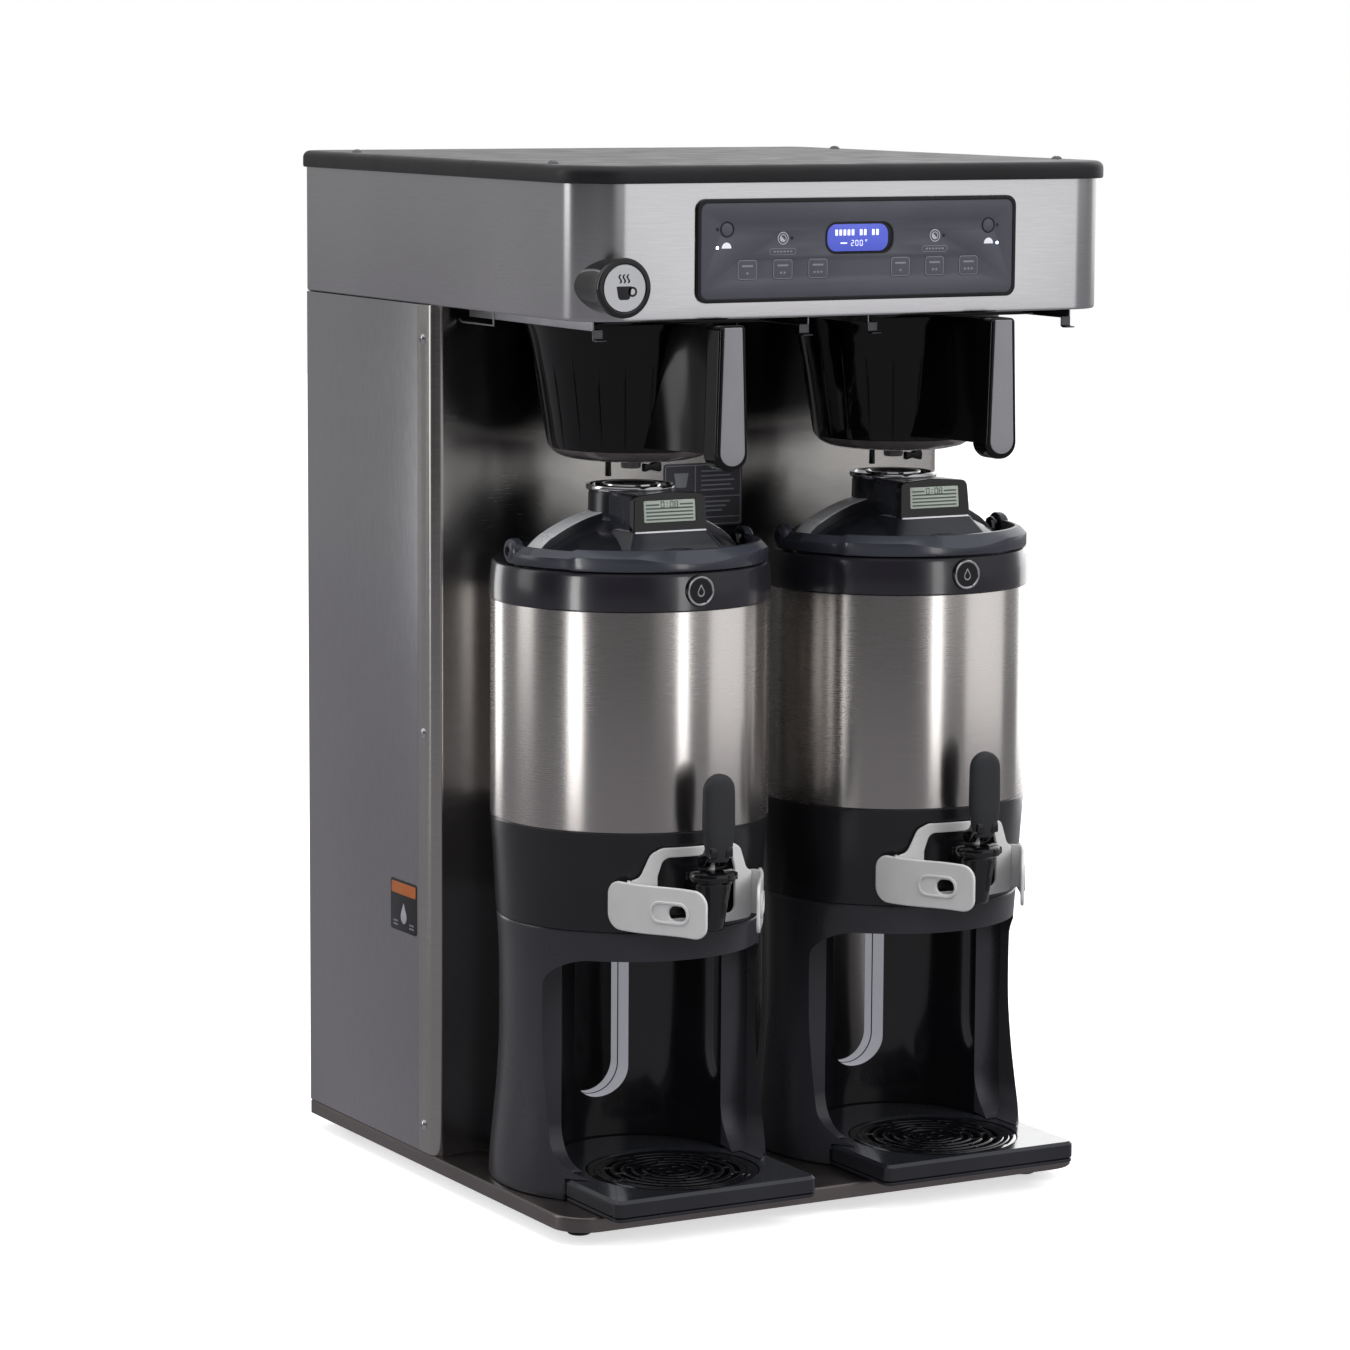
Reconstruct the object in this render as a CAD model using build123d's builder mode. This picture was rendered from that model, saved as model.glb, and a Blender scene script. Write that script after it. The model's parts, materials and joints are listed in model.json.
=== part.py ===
from build123d import *
import math
import os

# Twin commercial coffee brewer with two insulated servers.
# Millimetres. +Z up, front of the machine faces -Y, X runs left to right as seen
# from the front. Origin: on the counter, under the middle of the cabinet.
# Each piece is one function that returns its part; the end of the script saves them all.
# Server pieces take x, the position of their station's vertical axis.

os.makedirs("parts", exist_ok=True)

SIGNS = (-1, 1)
SIDES = (("left", -1), ("right", 1))

# ------------------------------------------------------------------ cabinet
WIDTH = 520.0
HALF = WIDTH / 2
DEPTH = 532.0             # hood, front face to back
Y_FRONT = -DEPTH / 2
Y_REAR = DEPTH / 2
SHEET = 1.5               # sheet metal thickness
FOOT_H = 12.0             # foot height under the base
BASE_TOP = 25.0           # deck the servers stand on
BASE_FRONT = -245.6       # front of the base pan
BASE_R = 31.0             # front corners of the base pan
PAN_WALL = 2.0
HOOD_Z0 = 776.0           # lower edge of the hood
HOOD_Z1 = 888.0           # upper edge of the hood
HOOD_R = 42.0             # front corners of the hood
FLOOR_Z = 789.0           # underside of the hood floor
LID_Z1 = 903.0            # top of the cabinet lid
LID_OVER = 6.0            # lid overhang
WALL_GAP = 0.2            # clearance above and below the trunk walls
WALL_Z0 = BASE_TOP + WALL_GAP
WALL_H = HOOD_Z0 - BASE_TOP - 2 * WALL_GAP
SPLASH_Y = 7.3            # front face of the trunk
SPLASH_R = 10.0
SPLASH_T = 1.4
SPLASH_RETURN = 37.3      # rear edge of the splash panel's side returns

FOOT_XY = ((-226.0, -200.0), (226.0, -200.0), (-226.0, 230.0), (226.0, 230.0))
LID_SCREWS = ((-249.0, -191.6), (249.0, -191.6), (-249.0, 180.0), (249.0, 180.0))
SCREW_Z = (50.0, 401.0, 746.0)
SIDE_SCREW_Y = 27.5
REAR_SCREW_X = HALF - 10
SCREW_R = 2.0
SCREW_HOLE_R = 2.2

# ------------------------------------------------------------ control panel
PANEL_HALF = 156.0        # half width
PANEL_Z0 = 789.6
PANEL_Z1 = 875.0
PANEL_H = PANEL_Z1 - PANEL_Z0
PANEL_MID_Z = (PANEL_Z0 + PANEL_Z1) / 2
PANEL_Y = -269.0          # front face of the panel
PANEL_BACK = Y_FRONT - 0.1
LCD_W, LCD_H, LCD_Z = 64.0, 24.0, 841.5
KEY_GAP = 0.15
BREW_KEY_W, BREW_KEY_H = 19.3, 16.8
BREW_KEY_X = (40.5, 74.5, 108.5)
BREW_KEY_Z = 816.5
# distance from the middle, height, radius
ROUND_KEYS = {"half_batch_key": (74.5, 842.0, 5.6), "power_key": (128.0, 850.0, 5.4)}
BOARD_Y = -257.0          # front of the control board
BOARD_T = 1.6

# ------------------------------------------------------------- water system
TANK_X, TANK_Y = 0.0, 138.0
TANK_TOP = 648.0
HEATER_Y = TANK_Y + 30
HEATER_LEG_X = 14.0       # heater legs, either side of the tank axis
OUTLET_X, OUTLET_Y = 40.0, TANK_Y - 50      # nipples on the tank, from the tank axis in X
STUB_X, STUB_Z = TANK_X - 60, 215.0         # cold water stub
INLET_X, INLET_Z = -190.0, 70.0
INLET_VALVE_Y = 238.0
INLET_VALVE_D = 38.0      # valve body, front to back
INLET_END_Y = 296.76      # end of the inlet fitting behind the cabinet
BREW_VALVE_X, BREW_VALVE_Y = 60.0, 60.0
BREW_VALVE_D = 34.0
BREW_VALVE_Z = 794.0      # underside of the valve body
BREW_PORT_Z = 806.0       # front port
BREW_DOWN_Y = 68.0        # lower port
BARB_R = 4.0
BARB_L = 14.0

# ------------------------------------------------------------ brew stations
STATION_X = 132.5
STATION_Y = -115.0
RAIL_OFF = 103.4          # rail web, from the funnel axis
RAIL_T = 1.2
RAIL_Z = 767.2            # underside of the rail lip
FLANGE_HALF = 101.6       # funnel flange half width

# ------------------------------------------------------------------ servers
STAND_Z0 = 25.2
STAND_Z1 = 258.0
SKIRT_Z1 = 344.0
SHELL_Z1 = 531.0
COLLAR_Z1 = 563.0
SHELL_R = 120.0
BAIL_Z = 575.0            # carry handle pivot
BAIL_R = 108.2            # inner radius of the carry handle
ARCH_HALF = 105.0         # half width of the cup opening
ARCH_TOP = 233.0
ARCH_FOOT = 43.0          # where the opening's rounded lower corners die into the foot
ARCH_H = ARCH_TOP - ARCH_FOOT
ARCH_MID_Z = (ARCH_TOP + ARCH_FOOT) / 2
CAVITY_R = 79.0
CAVITY_Y = STATION_Y - 26
TRAY_FRONT = STATION_Y - 160
TRAY_REAR = STATION_Y - 32
TRAY_HALF = 98.0
GRATE_Y = STATION_Y - 80
GRATE_R = 74.0
GRATE_SLOT_R = 48.0       # middle of the ring of slots
GRATE_SLOT_W = 4.4
FAUCET_REACH = 143.0      # faucet axis in front of the server axis
FAUCET_Y = STATION_Y - FAUCET_REACH
SHANK_Z = 297.0
BORE_R = 6.0              # coffee passage


# ================================================================= helpers
def front_plane(y):
    """Upright plane at y, normal to the front (-Y); local axes are X and Z."""
    return Plane.XZ.offset(-y)


def turn(x, y, profile, mode=Mode.ADD):
    """Revolve a closed (radius, z) profile about the vertical axis at x, y."""
    with BuildSketch(Plane(origin=(x, y, 0), x_dir=(1, 0, 0), z_dir=(0, -1, 0))) as section:
        with BuildLine():
            Polyline(*profile, close=True)
        make_face()
    revolve(section.sketch, axis=Axis((x, y, 0), (0, 0, 1)), mode=mode)


def slab(x0, y0, x1, y1, z, height, r_front=0.0, r_rear=0.0, mode=Mode.ADD):
    """Upright block on z, with rounded front and rear vertical edges."""
    with BuildSketch(Plane.XY.offset(z)) as outline:
        with Locations(((x0 + x1) / 2, (y0 + y1) / 2)):
            Rectangle(abs(x1 - x0), y1 - y0)
        if r_front > 0:
            fillet(outline.vertices().group_by(Axis.Y)[0], r_front)
        if r_rear > 0:
            fillet(outline.vertices().group_by(Axis.Y)[-1], r_rear)
    extrude(outline.sketch, amount=height, mode=mode)


# ================================================================= cabinet
def base_pan():
    """Folded base pan: a shallow tray turned down over the feet."""
    with BuildPart() as pan:
        slab(-HALF, BASE_FRONT, HALF, Y_REAR, FOOT_H, BASE_TOP - FOOT_H, BASE_R, 4)
        fillet(pan.faces().sort_by(Axis.Z)[-1].edges(), 2.0)
        slab(-HALF + PAN_WALL, BASE_FRONT + PAN_WALL, HALF - PAN_WALL, Y_REAR - PAN_WALL, FOOT_H,
             BASE_TOP - FOOT_H - PAN_WALL, BASE_R - PAN_WALL, 2, mode=Mode.SUBTRACT)
        # drilled bosses for the feet
        with BuildSketch(Plane.XY.offset(FOOT_H + 1.5)):
            with Locations(*FOOT_XY):
                Circle(9)
        extrude(amount=BASE_TOP - FOOT_H - PAN_WALL)
        with BuildSketch(Plane.XY.offset(FOOT_H)):
            with Locations(*FOOT_XY):
                Circle(4.0)
        extrude(amount=BASE_TOP - FOOT_H, mode=Mode.SUBTRACT)
    return pan.part


def leveling_feet():
    """Four screw-in levelling feet."""
    shoulder_z = FOOT_H - 0.2
    with BuildPart() as feet:
        for x, y in FOOT_XY:
            turn(x, y, [(0, 0), (9.5, 0), (10.5, 1.5), (10.0, 8.5), (8.5, shoulder_z),
                        (3.95, shoulder_z), (3.95, 24.0), (0, 24.0)])
    return feet.part


def side_panel(sign):
    """Flat sheet with a joggled front lap and a rear flange."""
    inner_x = sign * (HALF - SHEET)
    with BuildPart() as panel:
        slab(sign * HALF, SPLASH_RETURN + 0.4, inner_x, Y_REAR, WALL_Z0, WALL_H)
        slab(inner_x, 19.0, sign * (HALF - SHEET - 1.3), 46.0, WALL_Z0, WALL_H)
        slab(inner_x, Y_REAR - 3.2, sign * (HALF - 17), Y_REAR - 1.8, WALL_Z0, WALL_H)
        for z in SCREW_Z:
            with BuildSketch(Plane.YZ.offset(sign * HALF)):
                with Locations((SIDE_SCREW_Y, z)):
                    Circle(SCREW_HOLE_R)
            extrude(amount=8, both=True, mode=Mode.SUBTRACT)
            with BuildSketch(front_plane(Y_REAR)):
                with Locations((sign * REAR_SCREW_X, z)):
                    Circle(SCREW_HOLE_R)
            extrude(amount=8, both=True, mode=Mode.SUBTRACT)
    return panel.part


def splash_panel():
    """Trunk front: rounded corners, returns lapping over the side panels."""
    with BuildPart() as panel:
        slab(-HALF, SPLASH_Y, HALF, SPLASH_RETURN, WALL_Z0, WALL_H, SPLASH_R)
        slab(-HALF + SPLASH_T, SPLASH_Y + SPLASH_T, HALF - SPLASH_T, SPLASH_RETURN + 5,
             BASE_TOP, HOOD_Z0 - BASE_TOP, SPLASH_R - SPLASH_T, mode=Mode.SUBTRACT)
        for z in SCREW_Z:
            with BuildSketch(Plane.YZ):
                with Locations((SIDE_SCREW_Y, z)):
                    Circle(SCREW_HOLE_R)
            extrude(amount=HALF + 5, both=True, mode=Mode.SUBTRACT)
    return panel.part


def rear_panel():
    """Rear sheet with two groups of vent slots and the water inlet hole."""
    edge_x = HALF - SHEET - 0.2
    with BuildPart() as panel:
        slab(-edge_x, Y_REAR - SHEET, edge_x, Y_REAR, WALL_Z0, WALL_H)
        with BuildSketch(front_plane(Y_REAR)):
            for vent_z, rows in ((640, 7), (110, 3)):
                with Locations((0, vent_z)):
                    with GridLocations(90, 12, 4, rows):
                        SlotOverall(70, 4)
            with Locations((INLET_X, INLET_Z)):
                Circle(6.5)
            with Locations(*[(sign * REAR_SCREW_X, z) for sign in SIGNS for z in SCREW_Z]):
                Circle(SCREW_HOLE_R)
        extrude(amount=8, both=True, mode=Mode.SUBTRACT)
    return panel.part


def hood_shell():
    """Wrapped sheet, inward lower flange, opening for the control panel."""
    flange = 12
    with BuildPart() as hood:
        slab(-HALF, Y_FRONT, HALF, Y_REAR, HOOD_Z0, HOOD_Z1 - HOOD_Z0, HOOD_R, 4)
        slab(-HALF + SHEET, Y_FRONT + SHEET, HALF - SHEET, Y_REAR - SHEET, HOOD_Z0 + 1.2, 200,
             HOOD_R - SHEET, 2.5, mode=Mode.SUBTRACT)
        slab(-HALF + flange, Y_FRONT + flange, HALF - flange, Y_REAR - flange, HOOD_Z0 - 1, 10,
             HOOD_R - flange, 2, mode=Mode.SUBTRACT)
        with BuildSketch(front_plane(Y_FRONT)):
            with Locations((0, PANEL_MID_Z)):
                RectangleRounded(2 * PANEL_HALF - 12, PANEL_H - 12, 6)
        extrude(amount=10, both=True, mode=Mode.SUBTRACT)
    return hood.part


def hood_floor():
    """Floor over the brew stations, with a hole for each spray head."""
    edge = SHEET + 0.2
    with BuildPart() as floor:
        slab(-HALF + edge, Y_FRONT + edge, HALF - edge, 40.0, FLOOR_Z, SHEET, HOOD_R - SHEET)
        with BuildSketch(Plane.XY.offset(FLOOR_Z)):
            with Locations((-STATION_X, STATION_Y), (STATION_X, STATION_Y)):
                Circle(10)
        extrude(amount=3, mode=Mode.SUBTRACT)
    return floor.part


def top_lid():
    """Moulded cabinet lid with a rounded rim, hollow underneath."""
    rim = 4
    with BuildPart() as cover:
        slab(-HALF - LID_OVER, Y_FRONT - LID_OVER, HALF + LID_OVER, Y_REAR + LID_OVER, HOOD_Z1,
             LID_Z1 - HOOD_Z1, HOOD_R + LID_OVER, 18)
        fillet(cover.faces().sort_by(Axis.Z)[-1].edges(), 6.5)
        slab(-HALF + rim, Y_FRONT + rim, HALF - rim, Y_REAR - rim, HOOD_Z1, 11, HOOD_R - rim, 6,
             mode=Mode.SUBTRACT)
        with BuildSketch(Plane.XY.offset(LID_Z1)):
            with Locations(*LID_SCREWS):
                Circle(SCREW_HOLE_R)
        extrude(amount=-20, mode=Mode.SUBTRACT)
    return cover.part


def cabinet_screws():
    """Truss head screws: lid, side laps, rear panel."""
    head_gap = 0.05
    seat_z = LID_Z1 + head_gap
    with BuildPart() as screws:
        for x, y in LID_SCREWS:
            turn(x, y, [(0, LID_Z1 - 14), (SCREW_R, LID_Z1 - 14), (SCREW_R, seat_z), (4.8, seat_z),
                        (4.5, LID_Z1 + 1.2), (3.0, LID_Z1 + 2.2), (0, LID_Z1 + 2.6)])
        for sign in SIGNS:
            for z in SCREW_Z:
                side_face = Plane(origin=(sign * HALF, SIDE_SCREW_Y, z), x_dir=(0, 1, 0),
                                  z_dir=(sign, 0, 0))
                rear_face = Plane(origin=(sign * REAR_SCREW_X, Y_REAR, z), x_dir=(1, 0, 0),
                                  z_dir=(0, 1, 0))
                for face in (side_face, rear_face):
                    with BuildSketch(face):
                        Circle(SCREW_R)
                    extrude(amount=-8)
                    with BuildSketch(face.offset(head_gap)):
                        Circle(4.5)
                    extrude(amount=2.2, taper=25)
    return screws.part


# =========================================================== control panel
def control_panel():
    """Raised panel with a plug into the hood opening, cut for display and keys."""
    with BuildPart() as panel:
        with BuildSketch(front_plane(PANEL_BACK)):
            with Locations((0, PANEL_MID_Z)):
                RectangleRounded(2 * PANEL_HALF, PANEL_H, 9)
        extrude(amount=PANEL_BACK - PANEL_Y)
        chamfer(panel.faces().sort_by(Axis.Y)[0].edges(), 0.8)
        with BuildSketch(front_plane(PANEL_BACK)):
            with Locations((0, PANEL_MID_Z)):
                RectangleRounded(2 * PANEL_HALF - 13, PANEL_H - 13, 5.5)
        extrude(amount=-4)
        with BuildSketch(front_plane(PANEL_Y - 1)):
            with Locations((0, LCD_Z)):
                RectangleRounded(LCD_W + 0.2, LCD_H + 0.2, 3.1)
            for sign in SIGNS:
                with Locations(*[(sign * x, BREW_KEY_Z) for x in BREW_KEY_X]):
                    RectangleRounded(BREW_KEY_W + 2 * KEY_GAP, BREW_KEY_H + 2 * KEY_GAP, 3.2)
                for x, z, radius in ROUND_KEYS.values():
                    with Locations((sign * x, z)):
                        Circle(radius + KEY_GAP)
        extrude(amount=-12, mode=Mode.SUBTRACT)
    return panel.part


def display_window():
    with BuildPart() as window:
        with BuildSketch(front_plane(PANEL_Y + 0.1)):
            with Locations((0, LCD_Z)):
                RectangleRounded(LCD_W, LCD_H, 3.0)
        extrude(amount=-3)
    return window.part


def key(x, z, radius=None):
    """Panel key: a disc of the given radius, or a brew key when there is none."""
    with BuildPart() as cap:
        with BuildSketch(front_plane(PANEL_Y - 0.1)):
            with Locations((x, z)):
                if radius is None:
                    RectangleRounded(BREW_KEY_W, BREW_KEY_H, 3.0)
                else:
                    Circle(radius)
        extrude(amount=-4.5)
        chamfer(cap.faces().sort_by(Axis.Y)[0].edges(), 0.3)
    return cap.part


def control_board():
    """Board behind the panel, with its display module and relays."""
    with BuildPart() as board:
        with BuildSketch(front_plane(BOARD_Y)):
            with Locations((0, 832)):
                RectangleRounded(290, 72, 3)
        extrude(amount=-BOARD_T)
        with BuildSketch(front_plane(BOARD_Y)):
            with Locations((0, LCD_Z)):
                Rectangle(76, 30)
        extrude(amount=5)
        with BuildSketch(front_plane(BOARD_Y + BOARD_T)):
            with Locations(*[(x, 828) for x in (-110, -70, -30, 80)]):
                Rectangle(26, 20)
        extrude(amount=-16)
    return board.part


def corner_badge():
    """Round badge boss standing out of the hood's lower left corner."""
    x, z = -234.0, 805.0
    # radius, y
    profile = [(0, -286.5), (19.0, -286.5), (19.6, -287.5), (23.0, -287.5), (24.5, -286.0),
               (24.5, -281.5), (23.2, -280.0), (22.6, -268.0), (22.0, -200.0), (0, -200.0)]
    with BuildPart() as badge:
        with BuildSketch(Plane(origin=(x, 0, z), x_dir=(1, 0, 0), z_dir=(0, 0, 1))):
            with BuildLine():
                Polyline(*profile, close=True)
            make_face()
        revolve(axis=Axis((x, 0, z), (0, 1, 0)))
        # trimmed to the outside of the hood
        slab(-HALF - 0.05, Y_FRONT - 0.05, HALF, Y_REAR, HOOD_Z0 - 5, 130, HOOD_R,
             mode=Mode.SUBTRACT)
    return badge.part


def funnel_rails():
    """Four bent strips: lips under the funnel flanges, bent front tabs."""
    front, rear = -236, -14
    tab_z = 759.5
    with BuildPart() as rails:
        for axis_x in (-STATION_X, STATION_X):
            for sign in SIGNS:
                web_x = axis_x + sign * RAIL_OFF
                web_inner_x = web_x - sign * RAIL_T
                lip_x = web_x - sign * 9.5
                slab(web_x, front, web_inner_x, rear, RAIL_Z, FLOOR_Z - 0.1 - RAIL_Z)
                slab(web_x, front, lip_x, rear, RAIL_Z, RAIL_T)
                # upper flange under the hood floor
                slab(web_inner_x, front + 6, web_x + sign * 9, rear - 6, FLOOR_Z - 1.3, RAIL_T)
                # front tab, down then forward
                slab(web_x, front - RAIL_T, lip_x, front, tab_z, 8.9)
                slab(web_x, front - 7, lip_x, front, tab_z, RAIL_T)
    return rails.part


def spray_heads():
    """Perforated spray heads above the funnels."""
    bottom_z = 776.0
    with BuildPart() as heads:
        for axis_x in (-STATION_X, STATION_X):
            turn(axis_x, STATION_Y,
                 [(0, bottom_z), (28, bottom_z), (31, 778.0), (31, 781.0), (24, 784.5),
                  (9.4, 786.5), (9.4, 796.0), (4.0, 796.0), (4.0, 812.0), (0, 812.0)])
        with BuildSketch(Plane.XY.offset(bottom_z)):
            for axis_x in (-STATION_X, STATION_X):
                with Locations((axis_x, STATION_Y)):
                    for ring_r, holes in ((20, 10), (11, 6)):
                        with PolarLocations(ring_r, holes):
                            Circle(1.2)
        extrude(amount=2.5, mode=Mode.SUBTRACT)
    return heads.part


# ============================================================ water system
def water_tank():
    """Hot water tank in the trunk, with an opening and two nipples in its lid."""
    outlets = [(TANK_X + sign * OUTLET_X, OUTLET_Y) for sign in SIGNS]
    nipple_bore_r = 4.3
    with BuildPart() as tank:
        turn(TANK_X, TANK_Y, [(0, 170), (100, 170), (108, 178), (108, 640), (114, 640),
                              (114, TANK_TOP), (0, TANK_TOP)])
        turn(TANK_X, TANK_Y, [(0, 172), (99, 172), (106, 179), (106, 645), (0, 645)],
             Mode.SUBTRACT)
        with BuildSketch(Plane.XY.offset(640)):
            with Locations((TANK_X, HEATER_Y)):
                Circle(26)
            with Locations(*outlets):
                Circle(nipple_bore_r)
        extrude(amount=20, mode=Mode.SUBTRACT)
        with BuildSketch(Plane.XY.offset(TANK_TOP)):
            with Locations(*outlets):
                Circle(6.0)
                Circle(nipple_bore_r, mode=Mode.SUBTRACT)
        extrude(amount=14)
        # three welded legs
        with BuildSketch(Plane.XY.offset(BASE_TOP + 0.3)):
            with Locations((TANK_X, TANK_Y)):
                with PolarLocations(92, 3, 90):
                    Rectangle(12, 20)
        extrude(amount=150)
        # cold water stub low on the rear wall
        with BuildSketch(front_plane(TANK_Y + 88)):
            with Locations((STUB_X, STUB_Z)):
                Circle(BARB_R)
        extrude(amount=-21)
    return tank.part


def tank_heater():
    """Immersion heater loop hanging from a flange on the tank lid, two terminals on top."""
    flange_z = TANK_TOP + 0.2
    flange_t = 4
    left, right = TANK_X - HEATER_LEG_X, TANK_X + HEATER_LEG_X
    top_z, bottom_z = 650, 230
    with BuildPart() as heater:
        with BuildSketch(Plane.XY.offset(flange_z)):
            with Locations((TANK_X, HEATER_Y)):
                Circle(32)
        extrude(amount=flange_t)
        with BuildSketch(Plane.XY.offset(flange_z + flange_t)):
            with Locations((TANK_X - 10, HEATER_Y), (TANK_X + 10, HEATER_Y)):
                Circle(3)
        extrude(amount=16)
        with BuildLine() as loop:
            Polyline((left, HEATER_Y, top_z), (left, HEATER_Y, bottom_z),
                     (right, HEATER_Y, bottom_z), (right, HEATER_Y, top_z))
            fillet(loop.vertices().group_by(Axis.Z)[0], 12)
        with BuildSketch(Plane(origin=(left, HEATER_Y, top_z), z_dir=(0, 0, -1))):
            Circle(4)
        sweep(path=loop.wires()[0])
    return heater.part


def solenoid_valves():
    """Inlet valve at the rear, two brew valves in the hood."""
    fitting_y = INLET_VALVE_Y + INLET_VALVE_D / 2
    thread_y = fitting_y + 10
    with BuildPart() as valves:
        # inlet valve: body, coil, stepped rear fitting, front barb
        with BuildSketch(Plane.XY.offset(50)):
            with Locations((INLET_X, INLET_VALVE_Y)):
                RectangleRounded(34, INLET_VALVE_D, 4)
        extrude(amount=40)
        with BuildSketch(Plane.XY.offset(90)):
            with Locations((INLET_X, INLET_VALVE_Y)):
                Circle(15)
        extrude(amount=34)
        with BuildSketch(front_plane(fitting_y)):
            with Locations((INLET_X, INLET_Z)):
                Circle(6.2)
        extrude(amount=-(thread_y - fitting_y))
        with BuildSketch(front_plane(thread_y)):
            with Locations((INLET_X, INLET_Z)):
                Circle(5.56)
        extrude(amount=-(INLET_END_Y - thread_y))
        with BuildSketch(front_plane(INLET_VALVE_Y - INLET_VALVE_D / 2)):
            with Locations((INLET_X, INLET_Z)):
                Circle(BARB_R)
        extrude(amount=BARB_L)
        # brew valves: body, coil, front barb, lower barb
        for sign in SIGNS:
            valve_x = sign * BREW_VALVE_X
            with BuildSketch(Plane.XY.offset(BREW_VALVE_Z)):
                with Locations((valve_x, BREW_VALVE_Y)):
                    RectangleRounded(30, BREW_VALVE_D, 4)
            extrude(amount=26)
            with BuildSketch(Plane.XY.offset(BREW_VALVE_Z + 26)):
                with Locations((valve_x, BREW_VALVE_Y)):
                    Circle(14)
            extrude(amount=34)
            with BuildSketch(front_plane(BREW_VALVE_Y - BREW_VALVE_D / 2)):
                with Locations((valve_x, BREW_PORT_Z)):
                    Circle(BARB_R)
            extrude(amount=BARB_L)
            with BuildSketch(Plane.XY.offset(BREW_VALVE_Z)):
                with Locations((valve_x, BREW_DOWN_Y)):
                    Circle(BARB_R)
            extrude(amount=-BARB_L)
    return valves.part


def water_tubes():
    """Five tubes pushed over the barbs, with clearance inside."""
    runs = []
    for sign in SIGNS:
        spray_x, valve_x, outlet_x = sign * STATION_X, sign * BREW_VALVE_X, sign * OUTLET_X
        # spray head to brew valve
        runs.append([(spray_x, STATION_Y, 798), (spray_x, STATION_Y, 840), (valve_x, -40, 840),
                     (valve_x, -40, BREW_PORT_Z), (valve_x, 41, BREW_PORT_Z)])
        # brew valve to tank
        runs.append([(valve_x, BREW_DOWN_Y, 792), (valve_x, BREW_DOWN_Y, 720),
                     (outlet_x, OUTLET_Y, 720), (outlet_x, OUTLET_Y, 664)])
    # inlet valve to tank
    runs.append([(INLET_X, 217, INLET_Z), (INLET_X, 190, INLET_Z), (INLET_X, 190, 150),
                 (STUB_X, 256, 150), (STUB_X, 256, STUB_Z), (STUB_X, 241, STUB_Z)])
    with BuildPart() as tubes:
        for points in runs:
            with BuildLine() as run:
                FilletPolyline(*points, radius=6.5)
            start = Vector(*points[1]) - Vector(*points[0])
            with BuildSketch(Plane(origin=points[0], z_dir=(start.X, start.Y, start.Z))):
                Circle(5.6)
                Circle(4.2, mode=Mode.SUBTRACT)
            sweep(path=run.wires()[0])
    return tubes.part


# =========================================================== brew stations
def funnel(x):
    """Brew funnel: flange, cone, outlet nozzle, drip legs, web and grip."""
    y = STATION_Y
    with BuildPart() as body:
        with BuildSketch(Plane.XY.offset(769.0)):
            with Locations((x, y)):
                RectangleRounded(2 * FLANGE_HALF, 186, 34)
        extrude(amount=4)
        turn(x, y, [(0, 649.5), (50, 649.5), (63, 653.5), (70.5, 662), (74, 682), (80, 718),
                    (86.5, 750), (91.5, 765), (91.5, 774), (0, 774)])
        turn(x, y, [(0, 641), (8.5, 641), (9.5, 650), (0, 650)])
        # grip bar: widens downwards to a rounded lower end
        with BuildSketch(front_plane(-288)) as grip:
            with BuildLine():
                Polyline((x - 12.5, 772), (x + 12.5, 772), (x + 16.0, 652), (x - 16.0, 652),
                         close=True)
            make_face()
            fillet(grip.vertices().group_by(Axis.Y)[0], 14)
            fillet(grip.vertices().group_by(Axis.Y)[-1], 4)
        extrude(amount=-24)
        # web between grip and cone
        slab(x - 6, -268, x + 6, y - 60, 668, 104)
        # inner hollow and outlet bore
        turn(x, y, [(0, 653), (48, 653), (60.5, 656.5), (67.3, 664), (71, 682), (77, 718),
                    (83.5, 750), (88.5, 765), (88.5, 780), (0, 780)], Mode.SUBTRACT)
        turn(x, y, [(0, 635), (5, 635), (5, 660), (0, 660)], Mode.SUBTRACT)
        # drip legs under the cone: a round one and a flat one
        with BuildSketch(Plane.XY.offset(634.5)):
            with Locations((x - 22, y)):
                Circle(2.6)
            with Locations((x + 22, y)):
                Rectangle(12, 4)
        extrude(amount=16)
    return body.part


def filter_basket(x):
    """Open basket that holds the filter inside the funnel."""
    with BuildPart() as basket:
        turn(x, STATION_Y, [(0, 670), (60, 670), (76, 764), (82, 764), (82, 766), (74.4, 766),
                            (58.6, 672), (0, 672)])
        with BuildSketch(Plane.XY.offset(660)):
            with Locations((x, STATION_Y)):
                for ring_r, holes in ((22, 6), (43, 12)):
                    with PolarLocations(ring_r, holes):
                        Circle(5)
        extrude(amount=20, mode=Mode.SUBTRACT)
        # upright slots round the wall
        for k in range(8):
            angle = math.radians(45 * k)
            with BuildSketch(Plane(origin=(x, STATION_Y, 715),
                                   x_dir=(-math.sin(angle), math.cos(angle), 0),
                                   z_dir=(math.cos(angle), math.sin(angle), 0))):
                SlotOverall(64, 16, rotation=90)
            extrude(amount=100, mode=Mode.SUBTRACT)
    return basket.part


# ================================================================= servers
def stand_hollow(x):
    """Space between the stand's outer skin and the walls of its openings."""
    with BuildPart() as hollow:
        turn(x, STATION_Y, [(0, 15), (117, 15), (116.5, 40), (113, 80), (109.8, 120),
                            (108.2, 160), (108.2, 210), (108.6, 231), (0, 231)])
        with BuildSketch(Plane.XY.offset(10)):
            with Locations((x, STATION_Y - 86.5)):
                Rectangle(2 * ARCH_HALF + 7, 130)
            with Locations((x, CAVITY_Y)):
                Circle(CAVITY_R + 3.5)
            with Locations((x, STATION_Y + 100)):
                Rectangle(113, 62)
        extrude(amount=300, mode=Mode.SUBTRACT)
    return hollow.part


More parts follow.
